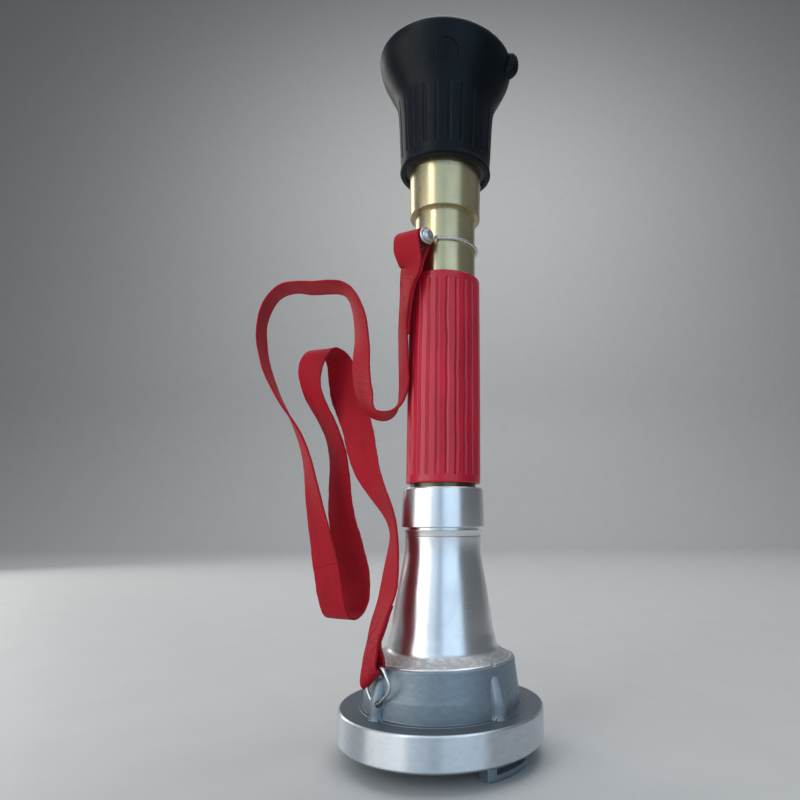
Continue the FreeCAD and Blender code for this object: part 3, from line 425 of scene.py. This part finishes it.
def grip():
    local = np.array([-2.88, -2.3, -1.8, -1.5, -1.3, -1.1, -0.9, -0.7, -0.5, -0.3, -0.15, 0.0, 0.15, 0.3, 0.5, 0.7, 0.9, 1.1, 1.3, 1.5, 1.8, 2.3]) / GRIP_R
    theta = np.concatenate([math.radians(7.5 + 15.0 * i) + local for i in range(RIBS)])
    rib = np.repeat(np.arange(RIBS), len(local))
    off = np.tile(local * GRIP_R, RIBS)
    za, zb = GRIP_Z0 + 5.3, GRIP_Z1 - 5.3
    z = np.concatenate([np.linspace(137.4, 140.4, 4), np.arange(140.6, 143.2, 0.2), np.linspace(143.4, 255.9, 96), np.arange(256.1, 258.9, 0.2), np.linspace(259.1, 262.2, 4)])
    verts, rows = [], []
    inner0 = [(19.22, GRIP_Z0), (20.6, GRIP_Z0), (21.45, GRIP_Z0 + 0.05), (21.8, GRIP_Z0 + 0.25), (22.02, GRIP_Z0 + 0.65)]
    inner1 = [(22.04, GRIP_Z1 - 0.62), (21.9, GRIP_Z1 - 0.3), (21.6, GRIP_Z1 - 0.1), (21.1, GRIP_Z1), (19.9, GRIP_Z1), (19.22, GRIP_Z1 - 0.2)]
    n = len(theta)
    az = theta[None, :]

    def ring(r, zz):
        rows.append(len(verts))
        r = np.broadcast_to(r, (n,))
        a = th_row
        for k in range(n):
            verts.append((r[k] * math.cos(a[k]), r[k] * math.sin(a[k]), zz))

    # grooves wander sideways a little, as a pushed-on sleeve does
    def shift(zz):
        t = (zz - za) / (zb - za)
        env = smooth01(t * 6) * smooth01((1 - t) * 6)
        out = np.zeros(RIBS)
        for i in range(RIBS):
            out[i] = 0.46 * wave(np.array([zz / 17.0 + 0.25 * i]), 11)[0] + 0.22 * wave(np.array([zz / 8.0]), 40 + i)[0] + 0.30 * math.exp(-((zz - 236 - 3 * math.sin(i)) / 9.0) ** 2) * math.sin(i * 1.3 + 0.5)
        return out * env

    for r0, z0 in inner0:
        th_row = theta
        ring(r0, z0)
    for zz in z:
        sh = shift(zz)
        th_row = theta + (sh[rib]) / GRIP_R
        dz = max(0.0, za - zz, zz - zb)
        d = np.sqrt(off ** 2 + dz ** 2)
        depth = GROOVE * (1.0 - smooth01(d / 1.32))
        lip = 0.05 * np.exp(-((d - 1.5) / 0.35) ** 2)
        swell = 0.06 * wave(np.array([zz / 14.0]), 3)[0]
        ring(GRIP_R + 0.02 + swell - depth + lip, zz)
    for r0, z0 in inner1:
        th_row = theta
        ring(r0, z0)
    faces = []
    m = len(rows)
    for a in range(m):
        b = (a + 1) % m
        for k in range(n):
            k2 = (k + 1) % n
            faces.append((rows[a] + k, rows[a] + k2, rows[b] + k2, rows[b] + k))
    ob = add_mesh("grip_rubber", verts, faces, ["red_rubber"], "root")
    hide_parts("grip_sleeve")
    return ob


grip()

# ------------------------------------------------------------------ webbing strap
S2 = math.sqrt(0.5)
U = np.array((S2, -S2, 0.0))
N = np.array((-S2, -S2, 0.0))
K = np.array((0.0, 0.0, 1.0))


def vec(a, b, c):
    return U * a + N * b + K * c


def unit(v):
    return v / np.linalg.norm(v, axis=-1, keepdims=True)


# centre line of the band and its width direction: x, y, z, wx, wy, wz in millimetres
STRAP_PATH = [
    (-20.3, -17.2, 263.6, 0.590, -0.730, -0.344),
    (-22.0, -14.0, 252.9, 0.437, -0.855, -0.279),
    (-23.4, -11.2, 240.0, 0.353, -0.914, -0.198),
    (-24.1, -9.5, 229.3, 0.344, -0.928, -0.143),
    (-24.4, -8.2, 218.4, 0.359, -0.928, -0.101),
    (-24.2, -6.9, 204.9, 0.370, -0.926, -0.068),
    (-24.1, -5.8, 193.4, 0.354, -0.925, -0.136),
    (-27.2, -4.0, 183.2, 0.139, -0.926, -0.351),
    (-37.7, -0.3, 177.9, -0.287, -0.938, 0.193),
    (-45.4, 2.4, 184.1, 0.319, -0.861, 0.396),
    (-49.9, 4.3, 195.0, 0.562, -0.780, 0.274),
    (-52.3, 6.0, 207.9, 0.644, -0.750, 0.150),
    (-52.9, 7.2, 218.6, 0.635, -0.764, 0.112),
    (-53.6, 8.4, 229.6, 0.573, -0.806, 0.148),
    (-55.3, 9.9, 240.8, 0.464, -0.856, 0.226),
    (-59.3, 12.3, 253.4, 0.253, -0.905, 0.343),
    (-64.9, 15.3, 262.4, -0.014, -0.919, 0.393),
    (-73.3, 19.0, 267.8, -0.327, -0.934, 0.144),
    (-85.9, 23.2, 269.4, -0.270, -0.961, 0.056),
    (-96.6, 26.1, 270.5, -0.246, -0.966, 0.081),
    (-107.8, 29.2, 271.6, -0.276, -0.961, -0.033),
    (-119.0, 32.6, 267.0, -0.097, -0.968, -0.234),
    (-125.0, 34.7, 258.2, 0.019, -0.986, -0.167),
    (-127.7, 35.8, 247.5, 0.033, -0.997, -0.064),
    (-127.1, 36.1, 233.9, 0.003, -1.000, 0.012),
    (-124.5, 35.8, 222.8, -0.010, -0.999, 0.046),
    (-120.8, 35.1, 212.5, -0.009, -0.998, 0.068),
    (-115.0, 34.2, 200.9, 0.017, -0.996, 0.087),
    (-109.4, 33.5, 191.4, 0.064, -0.992, 0.106),
    (-103.3, 33.0, 181.9, 0.138, -0.980, 0.143),
    (-96.7, 32.3, 170.3, 0.261, -0.947, 0.187),
    (-92.4, 31.7, 160.1, 0.378, -0.906, 0.190),
    (-89.2, 31.0, 149.6, 0.470, -0.865, 0.176),
    (-86.2, 30.2, 136.7, 0.564, -0.807, 0.175),
    (-83.6, 29.6, 125.8, 0.641, -0.742, 0.198),
    (-80.9, 29.0, 115.0, 0.720, -0.658, 0.220),
    (-77.6, 28.4, 102.1, 0.803, -0.551, 0.228),
    (-75.1, 27.9, 91.5, 0.853, -0.476, 0.213),
    (-72.8, 27.6, 80.8, 0.883, -0.436, 0.176),
    (-70.7, 27.9, 69.5, 0.888, -0.444, 0.121),
    (-67.3, 31.4, 57.3, 0.838, -0.541, 0.076),
    (-61.8, 39.0, 56.2, 0.821, -0.569, -0.034),
    (-58.2, 44.1, 64.6, 0.919, -0.392, -0.041),
    (-58.7, 44.5, 78.8, 0.964, -0.230, 0.136),
    (-61.1, 44.0, 90.0, 0.951, -0.195, 0.242),
    (-64.2, 43.4, 100.6, 0.934, -0.222, 0.280),
    (-67.8, 43.0, 113.0, 0.922, -0.312, 0.227),
    (-69.9, 43.0, 123.8, 0.897, -0.424, 0.128),
    (-71.0, 43.1, 135.0, 0.838, -0.543, 0.056),
    (-71.9, 42.4, 148.5, 0.759, -0.651, -0.016),
    (-73.0, 40.4, 159.3, 0.720, -0.688, -0.086),
    (-75.2, 36.7, 169.4, 0.703, -0.704, -0.099),
    (-79.5, 31.7, 180.7, 0.662, -0.749, -0.008),
    (-84.2, 28.0, 189.8, 0.652, -0.754, 0.073),
    (-88.3, 25.5, 199.6, 0.744, -0.660, 0.103),
    (-89.8, 24.5, 213.5, 0.896, -0.441, -0.054),
    (-86.8, 26.8, 224.2, 0.850, -0.449, -0.276),
    (-80.2, 32.9, 228.7, 0.678, -0.735, -0.028),
    (-73.5, 38.1, 220.5, 0.905, -0.355, 0.235),
    (-71.2, 37.5, 209.0, 0.952, -0.227, 0.205),
    (-68.3, 34.6, 198.5, 0.917, -0.080, 0.390),
    (-63.0, 30.0, 187.4, 0.893, 0.035, 0.450),
    (-58.6, 25.7, 178.3, 0.924, -0.003, 0.383),
    (-55.2, 21.2, 168.6, 0.934, -0.115, 0.339),
    (-52.3, 16.6, 158.8, 0.885, -0.248, 0.393),
    (-48.0, 11.3, 147.5, 0.718, -0.429, 0.548),
    (-43.3, 6.7, 138.8, 0.504, -0.590, 0.631),
    (-37.9, 1.8, 130.5, 0.276, -0.710, 0.648),
    (-31.5, -4.7, 120.7, 0.136, -0.801, 0.583),
    (-27.8, -9.7, 111.7, 0.225, -0.863, 0.452),
    (-26.8, -13.4, 101.5, 0.370, -0.890, 0.266),
    (-27.5, -16.8, 88.3, 0.506, -0.849, 0.154),
    (-28.5, -19.1, 77.4, 0.548, -0.834, 0.064),
    (-29.8, -22.0, 70.1, 0.542, -0.800, 0.230),
    (-31.5, -25.0, 63.4, 0.537, -0.735, 0.385),
    (-32.8, -28.5, 56.1, 0.530, -0.640, 0.540),
    (-34.2, -31.4, 50.6, 0.527, -0.588, 0.614),
]
path = np.array(STRAP_PATH)
PP, PW = path[:, :3], path[:, 3:]
arc = np.r_[0, np.cumsum(np.linalg.norm(np.diff(PP, axis=0), axis=1))]
TOTAL = arc[-1]


def catmull(values, s):
    """Smooth curve through the path's rows at distances s."""
    i = np.clip(np.searchsorted(arc, s, side="right") - 1, 0, len(arc) - 2)
    h = arc[i + 1] - arc[i]
    t = ((s - arc[i]) / h)[:, None]
    prev, nxt = np.clip(i - 1, 0, None), np.clip(i + 2, None, len(arc) - 1)
    m0 = (values[i + 1] - values[prev]) / np.maximum(arc[i + 1] - arc[prev], 1e-6)[:, None] * h[:, None]
    m1 = (values[nxt] - values[i]) / np.maximum(arc[nxt] - arc[i], 1e-6)[:, None] * h[:, None]
    t2, t3 = t * t, t * t * t
    return (2 * t3 - 3 * t2 + 1) * values[i] + (t3 - 2 * t2 + t) * m0 + (3 * t2 - 2 * t3) * values[i + 1] + (t3 - t2) * m1


def main_frame(s):
    p = catmull(PP, s)
    w = unit(catmull(PW, s))
    t = unit(catmull(PP, np.clip(s + 0.5, 0, TOTAL)) - catmull(PP, np.clip(s - 0.5, 0, TOTAL)))
    w = unit(w - t * (w * t).sum(1, keepdims=True))
    return p, t, w, np.cross(t, w)


HALF_T = 0.75
STEP = 0.9
TAIL_UP, TAIL_LOW = 39.5, 22.0

# upper fold: tail, inner leg, round the spacer, outer leg
down = unit(N * 1.3 - K * 17.2)
side = np.cross(U, down)
UO = vec(0, 25.2, 282.6)


def drop(origin, xd, yd, wd, r, length, order):
    """Centre line of a folded loop from one closed end round to the other."""
    pts = []
    x_end = HALF_T + 0.02
    t = np.linspace(0, 1, 14)
    leg = []
    for a in t:  # closed end to the side of the circle
        x = x_end + (r - x_end) * smooth01(np.array([a]))[0] ** 0.85
        leg.append((x, length * (1 - a)))
    circle = [(r * math.cos(b), -r * math.sin(b)) for b in np.linspace(0, math.pi, 25)[1:-1]]
    other = [(-x, y) for x, y in reversed(leg)]
    line = leg + circle + other
    if order < 0:
        line = line[::-1]
    return np.array([origin + xd * x + yd * y for x, y in line]), np.array([wd] * len(line))


up_pts, up_w = drop(UO, side, down, U, 4.85, 17.1, 1)
TILT, LEAN = math.radians(38.0), math.radians(4.0)
UP = K * math.cos(LEAN) + N * math.sin(LEAN)
P_DIR = U * math.cos(TILT) + UP * math.sin(TILT)
Q_DIR = -U * math.sin(TILT) + UP * math.cos(TILT)
BAR = np.array((-33.822, -31.001, 38.826))
mdir = np.cross(P_DIR, Q_DIR)
lo_pts, lo_w = drop(BAR - UP * 0.6, mdir, UP, P_DIR, 2.75, 10.6, 1)

s_main = np.arange(3.0, TOTAL - 2.0, STEP)
mp, mt, mw, mn = main_frame(s_main)
fade = lambda a, n_: 1 - smooth01((a - (n_ - 6)) / 14.0)
off_top = HALF_T * fade(s_main, TAIL_UP)
off_low = HALF_T * fade(TOTAL - s_main, TAIL_LOW)
mp = mp + mn * (off_top + off_low)[:, None]
s_tail = np.arange(TAIL_UP, 3.0, -STEP)
tp, tt, tw, tn = main_frame(s_tail)
tp = tp - tn * (HALF_T + 0.03)
s_low = np.arange(TOTAL - 2.0, TOTAL - TAIL_LOW, -STEP)
qp, qt, qw, qn = main_frame(s_low)
qp = qp - qn * (HALF_T + 0.03)

P_all = np.vstack([tp, up_pts, mp, lo_pts, qp])
W_all = np.vstack([tw, up_w, mw, lo_w, qw])
kind = np.r_[np.full(len(tp), 0), np.full(len(up_pts), 1), np.full(len(mp), 2), np.full(len(lo_pts), 3), np.full(len(qp), 4)]
m_par = np.r_[s_tail, np.zeros(len(up_pts)), s_main, np.full(len(lo_pts), TOTAL), s_low]


def resample(P, W, extra, step):
    d = np.r_[0, np.cumsum(np.linalg.norm(np.diff(P, axis=0), axis=1))]
    keep = np.r_[True, np.diff(d) > 1e-6]
    d, P, W, extra = d[keep], P[keep], W[keep], extra[keep]
    n = int(round(d[-1] / step))
    s = np.linspace(0, d[-1], n + 1)
    cols = lambda A: np.column_stack([np.interp(s, d, A[:, k]) for k in range(A.shape[1])])
    return s, cols(P), cols(W), np.column_stack([np.interp(s, d, e) for e in extra.T])


def soften(A, sigma, step, amount):
    """Gaussian along the rows, blended in by amount."""
    n = int(math.ceil(3 * sigma / step))
    k = np.exp(-0.5 * (np.arange(-n, n + 1) * step / sigma) ** 2)
    k /= k.sum()
    pad = np.vstack([2 * A[0] - A[1:n + 1][::-1], A, 2 * A[-1] - A[-n - 1:-1][::-1]])
    out = np.column_stack([np.convolve(pad[:, c], k, mode="valid") for c in range(A.shape[1])])
    return A * (1 - amount[:, None]) + out * amount[:, None]


s_all, P_all, W_all, ex = resample(P_all, W_all, np.column_stack([m_par, kind]), 0.8)
par, kd = ex[:, 0], ex[:, 1]
tight = (np.abs(kd - 1) < 0.45) | (np.abs(kd - 3) < 0.45)
amt = np.where(tight, 0.0, 1.0)
amt = soften(amt[:, None], 2.0, 0.8, np.ones(len(amt)))[:, 0]
P_all = soften(P_all, 2.2, 0.8, np.clip(amt, 0, 1))
P_all = soften(P_all, 0.9, 0.8, np.ones(len(amt)))
W_all = soften(W_all, 3.0, 0.8, np.ones(len(amt)))
T_all = unit(np.gradient(P_all, axis=0))
# square to the centre line everywhere except in the lower fold, which hangs sheared over the tilted wire
sheared = smooth01((s_all - (s_all[-1] - 78.0)) / 22.0)[:, None]
W_all = unit(W_all - T_all * (W_all * T_all).sum(1, keepdims=True) * (1.0 - sheared))
N_all = unit(np.cross(T_all, W_all))

# width: 20 mm, gathered to 15 mm where it passes the wire ring
from_low = np.where(s_all > s_all[-1] - 75, 1.0, 0.0)
gather = smooth01(1 - (TOTAL - par) / 14.0) * (s_all > 300)
width = 20.0 - 2.6 * gather
# the sewn-down end behind the band is a little narrower, so that it stays hidden from the front
width = width - 2.6 * smooth01((kd - 3.3) / 0.6)
# the upper fold flares towards its far side
loop_rows = np.where(np.abs(kd - 1) < 0.5)[0]
ls0, ls1 = s_all[loop_rows[0]], s_all[loop_rows[-1]]
flare = smooth01((s_all - ls0) / 15.0) * smooth01((ls1 - s_all) / 15.0)
flare_dir = np.sign(((P_all - UO) * N_all).sum(1))
tail_end = np.minimum(s_all, s_all[-1] - s_all)
thick = np.full(len(s_all), 1.42)


def ribbon(name, i0, i1, cap0, cap1):
    """A piece of the band from row i0 to row i1, closed at both ends."""
    cols = np.concatenate([[-1.0, -0.985, -0.955, -0.91, -0.86], np.linspace(-0.8, 0.8, 25), [0.86, 0.91, 0.955, 0.985, 1.0]])
    nc = len(cols)
    edge = np.clip((1 - np.abs(cols)) / 0.045, 0, 1)
    prof = np.sqrt(1 - (1 - edge) ** 2)
    lipr = 1.0 + 0.13 * np.exp(-((np.abs(cols) - 0.93) / 0.035) ** 2)
    loop = np.concatenate([np.arange(nc), np.arange(nc - 2, 0, -1)])
    upper = np.concatenate([np.ones(nc), -np.ones(nc - 2)])
    verts, uvs_v = [], []
    nl = len(loop)
    for i in range(i0, i1 + 1):
        s = s_all[i]
        w = width[i]
        ripple = 1 + 0.012 * math.sin(s / 3.1) + 0.008 * math.sin(s / 1.27 + 1)
        free = smooth01(np.array([min(par[i] - TAIL_UP - 8, TOTAL - 34 - par[i]) / 25.0]))[0] if 1.5 < kd[i] < 2.5 else 0.0
        bow = free * (0.55 * math.sin(s / 37.0 + 0.8) + 0.25 * math.sin(s / 13.0))
        pleat = 0.12 * gather[i] * (1 if not tight[i] else 0.6)
        edge_wave = 0.16 * free * math.sin(s / 5.3 + 2 * math.sin(s / 31.0))
        for k, up in zip(loop, upper):
            c = cols[k]
            n_off = bow * (c * c - 0.35) + pleat * math.sin(c * 7.0 + 0.4) * (1 - abs(c)) + edge_wave * c ** 3
            n_off += flare[i] * flare_dir[i] * 1.55 * (1 - c)
            t_off = up * thick[i] * 0.5 * prof[k] * lipr[k] * 0.97
            p = P_all[i] + W_all[i] * (c * w * 0.5 * ripple) + N_all[i] * (n_off + t_off)
            verts.append(tuple(p))
    rows = i1 - i0 + 1
    faces, uv, mi = [], [], []
    for a in range(rows - 1):
        for k in range(nl):
            k2 = (k + 1) % nl
            v0, v1 = s_all[i0 + a] * MM, s_all[i0 + a + 1] * MM
            shift_u = 0.0 if upper[k] > 0 and upper[k2] > 0 else 0.0
            u0, u1 = cols[loop[k]] * 0.01 + shift_u, cols[loop[k2]] * 0.01 + shift_u
            faces.append((a * nl + k, a * nl + k2, (a + 1) * nl + k2, (a + 1) * nl + k))
            uv += [(u0, v0), (u1, v0), (u1, v1), (u0, v1)]
            mi.append(0)
    for flag, row, s in ((cap0, 0, s_all[i0]), (cap1, rows - 1, s_all[i1])):
        base = row * nl
        for k in range(1, nc - 1):
            ka, kb = k, k + 1
            # quads joining upper and lower columns across the thickness
        top = [base + k for k in range(nc)]
        bot = [base] + [base + nc + (nc - 2 - k) for k in range(1, nc - 1)] + [base + nc - 1]
        for k in range(nc - 1):
            q = [top[k], top[k + 1], bot[k + 1], bot[k]]
            q = [x_ for j, x_ in enumerate(q) if x_ not in q[:j]]
            if row == 0:
                q = q[::-1]
            faces.append(tuple(q))
            uv += [(cols[k] * 0.01, s * MM)] * len(q)
            mi.append(0)
    return verts, faces, uv, mi


def capsule(p0, p1, r, sides=7):
    """A short rounded stitch from p0 to p1."""
    p0, p1 = np.array(p0), np.array(p1)
    d = unit(p1 - p0)
    a = unit(np.cross(d, K if abs(d[2]) < 0.9 else U))
    b = np.cross(d, a)
    L = np.linalg.norm(p1 - p0)
    verts, faces = [], []
    prof = [(0.0, 0.35), (0.18 * L, 0.85), (0.5 * L, 1.0), (0.82 * L, 0.85), (L, 0.35)]
    for t, k in prof:
        for j in range(sides):
            ang = 2 * math.pi * j / sides
            verts.append(tuple(p0 + d * t + (a * math.cos(ang) + b * math.sin(ang)) * r * k))
    for i in range(len(prof) - 1):
        for j in range(sides):
            j2 = (j + 1) % sides
            faces.append((i * sides + j, i * sides + j2, (i + 1) * sides + j2, (i + 1) * sides + j))
    faces.append(tuple(reversed(range(sides))))
    faces.append(tuple((len(prof) - 1) * sides + j for j in range(sides)))
    return verts, faces


def at(i, c, n_off):
    i = int(np.clip(i, 0, len(s_all) - 1))
    return P_all[i] + W_all[i] * (c * width[i] * 0.5) + N_all[i] * n_off


def row_at(par_value, which):
    """Row index of the main band (2), upper tail (0) or lower tail (4) nearest a distance along the path."""
    ok = np.where(np.abs(kd - which) < 0.4)[0]
    return int(ok[np.argmin(np.abs(par[ok] - par_value))])


def stitches(lines, which_faces):
    """Stitch rows given as ((s, c) start, (s, c) end); one set on each outer face."""
    verts, faces = [], []
    for (s0, c0), (s1, c1) in lines:
        length = math.hypot(s1 - s0, (c1 - c0) * 10.0)
        n = max(2, int(length / 2.9))
        for j in range(n):
            a, b = (j + 0.08) / n, (j + 0.86) / n
            for which, sign in which_faces:
                pts = []
                for f in (a, b):
                    s, c = s0 + (s1 - s0) * f, c0 + (c1 - c0) * f
                    i = row_at(s, which)
                    pts.append(at(i, c, sign * 0.74))
                v, f_ = capsule(pts[0], pts[1], 0.27)
                base = len(verts)
                verts += v
                faces += [tuple(x_ + base for x_ in q) for q in f_]
    return verts, faces


def strap_piece(name, i0, i1, lines, which_faces):
    verts, faces, uv, mi = ribbon(name, i0, i1, True, True)
    sv, sf = stitches(lines, which_faces)
    base = len(verts)
    verts += sv
    for q in sf:
        faces.append(tuple(x_ + base for x_ in q))
        uv += [(0.0, 0.0)] * len(q)
        mi.append(1)
    return add_mesh(name, verts, faces, ["red_webbing", "red_thread"], None, uv, mi)


mid = row_at(440.0, 2)
# main band's outer face is +N; the upper tail runs the other way, so its outward face is also +N of its own frame
upper_lines = [((2.5, -0.8), (2.5, 0.8)), ((4.6, 0.8), (4.6, -0.8)), ((37.0, -0.8), (37.0, 0.8)), ((3.5, -0.84), (37.0, -0.84)), ((3.5, 0.84), (37.0, 0.84)),
               ((6.0, -0.74), (35.0, 0.74)), ((6.0, 0.74), (35.0, -0.74))]
strap_a = strap_piece("strap_upper_band", 0, mid, upper_lines, ((2, 1.0), (0, 1.0)))
lower_lines = [((TOTAL - 3.5, -0.78), (TOTAL - 3.5, 0.78)), ((TOTAL - 19.5, -0.8), (TOTAL - 19.5, 0.8)), ((TOTAL - 19.0, -0.82), (TOTAL - 4.0, -0.82)),
               ((TOTAL - 19.0, 0.82), (TOTAL - 4.0, 0.82)), ((TOTAL - 18.0, -0.7), (TOTAL - 5.0, 0.7)), ((TOTAL - 18.0, 0.7), (TOTAL - 5.0, -0.7))]
strap_b = strap_piece("strap_lower_band", mid, len(s_all) - 1, lower_lines, ((2, 1.0), (4, 1.0)))
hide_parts("strap_upper_loop", "strap_webbing")
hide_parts("strap_lower_loop")
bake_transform(strap_a)
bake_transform(strap_b)

# ------------------------------------------------------------------ surroundings
def emitter(name, w, h, loc, aim, power, color=(1, 1, 1), spread=180.0):
    d = bpy.data.lights.new(name, "AREA")
    d.shape = "RECTANGLE"
    d.size, d.size_y = w, h
    d.energy = power
    d.color = color
    d.spread = math.radians(spread)
    ob = bpy.data.objects.new(name, d)
    scene.collection.objects.link(ob)
    ob.location = loc
    ob.rotation_mode = "QUATERNION"
    ob.rotation_quaternion = (Vector(aim) - Vector(loc)).to_track_quat("-Z", "Y")
    return ob


def floor():
    """Pale floor that curves up into a backdrop far behind."""
    verts, faces = [], []
    z0 = -8.75
    prof = [(-1500.0, z0), (2400.0, z0)]
    for k in range(1, 13):
        a = math.radians(90.0 * k / 12)
        prof.append((2400.0 + 900 * math.sin(a), z0 + 900 * (1 - math.cos(a))))
    prof.append((3300.0, 7000.0))
    xs = (-5200.0, 5200.0)
    for yy, zz in prof:
        for xx in xs:
            verts.append((xx, yy, zz))
    for i in range(len(prof) - 1):
        faces.append((2 * i, 2 * i + 1, 2 * i + 3, 2 * i + 2))
    g = Graph("floor_paint")
    n = g.noise(g.scaled(0.02, 0.02, 0.02, 1.0), 6.0, 0.6)
    f = g.noise(g.scaled(0.5, 0.5, 0.5, 1.0), 4.0, 0.6)
    g.set(color=g.mix(g.span(n, 0.35, 0.65), (0.545, 0.55, 0.55), (0.56, 0.565, 0.565)), rough=g.span(f, 0.3, 0.7, 0.5, 0.62), normal=g.bump(f, 0.0001, 0.3), spec=0.3)
    M["floor_paint"] = g.mat
    ob = add_mesh("floor", verts, faces, ["floor_paint"])


floor()
world = bpy.data.worlds.new("studio")
scene.world = world
world.use_nodes = True
wt = world.node_tree
wt.nodes.clear()
wo = wt.nodes.new("ShaderNodeOutputWorld")
wb = wt.nodes.new("ShaderNodeBackground")
wc = wt.nodes.new("ShaderNodeTexCoord")
ws = wt.nodes.new("ShaderNodeSeparateXYZ")
wr = wt.nodes.new("ShaderNodeValToRGB")
wt.links.new(wc.outputs["Generated"], ws.inputs[0])
wm = wt.nodes.new("ShaderNodeMapRange")
wm.inputs[1].default_value, wm.inputs[2].default_value = -1.0, 1.0
wt.links.new(ws.outputs[2], wm.inputs[0])
wt.links.new(wm.outputs[0], wr.inputs[0])
el = wr.color_ramp.elements
el[0].position, el[0].color = 0.0, (0.30, 0.30, 0.31, 1)
el[1].position, el[1].color = 1.0, (0.62, 0.66, 0.72, 1)
e_ = el.new(0.5); e_.color = (0.16, 0.17, 0.18, 1)
e_ = el.new(0.62); e_.color = (0.30, 0.32, 0.34, 1)
wt.links.new(wr.outputs[0], wb.inputs[0])
wb.inputs[1].default_value = 0.40
wt.links.new(wb.outputs[0], wo.inputs[0])

emitter("left_wall", 1.15, 0.85, (-1.09, -0.71, 0.40), (0, 0, 0.36), 6.4, (1.0, 0.99, 0.96))
emitter("high_left", 0.42, 0.8, (-0.90, -0.98, 1.25), (0, 0, 0.30), 3.0, (1.0, 0.99, 0.95))
emitter("open_shade_left", 0.48, 0.85, (-0.476, -1.21, 0.40), (0, 0, 0.36), 1.15, (0.60, 0.80, 1.0))
emitter("open_shade_gap", 0.33, 0.85, (-0.085, -1.297, 0.40), (0, 0, 0.36), 0.30, (0.45, 0.70, 1.0))
emitter("open_shade", 1.12, 0.85, (0.585, -1.161, 0.40), (0, 0, 0.36), 3.5, (0.60, 0.80, 1.0))
emitter("open_shade_high", 2.2, 0.9, (0.30, -1.35, 1.28), (0, 0, 0.30), 3.2, (0.60, 0.80, 1.0))
emitter("top", 1.8, 1.4, (0.0, 0.25, 1.9), (0, 0.15, 0.1), 15, (1.0, 1.0, 1.0))
emitter("back_left", 0.5, 1.2, (-1.2, 1.0, 0.8), (0, 0, 0.2), 5, (1.0, 0.97, 0.93))
emitter("wash", 2.4, 0.9, (0.0, 1.2, 2.6), (0, 3.2, 1.2), 34, (1.0, 1.0, 1.0))

# ------------------------------------------------------------------ camera
cam = bpy.data.cameras.new("camera")
cam.sensor_fit = "HORIZONTAL"
cam.sensor_width = 36.0
cam.lens = 27.18
cam.shift_x = -0.0960
cam.shift_y = 0.0
cam.clip_start, cam.clip_end = 0.01, 50.0
cam_ob = bpy.data.objects.new("camera", cam)
scene.collection.objects.link(cam_ob)
PITCH, ROLL = 11.378, -0.2254
cam_ob.matrix_world = Matrix.Translation((0.020108, -0.36114, 0.11453)) @ Matrix.Rotation(math.radians(90 + PITCH), 4, "X") @ Matrix.Rotation(math.radians(ROLL), 4, "Z")
scene.camera = cam_ob

# ------------------------------------------------------------------ finish
scene.view_settings.view_transform = "Standard"
scene.view_settings.look = "None"
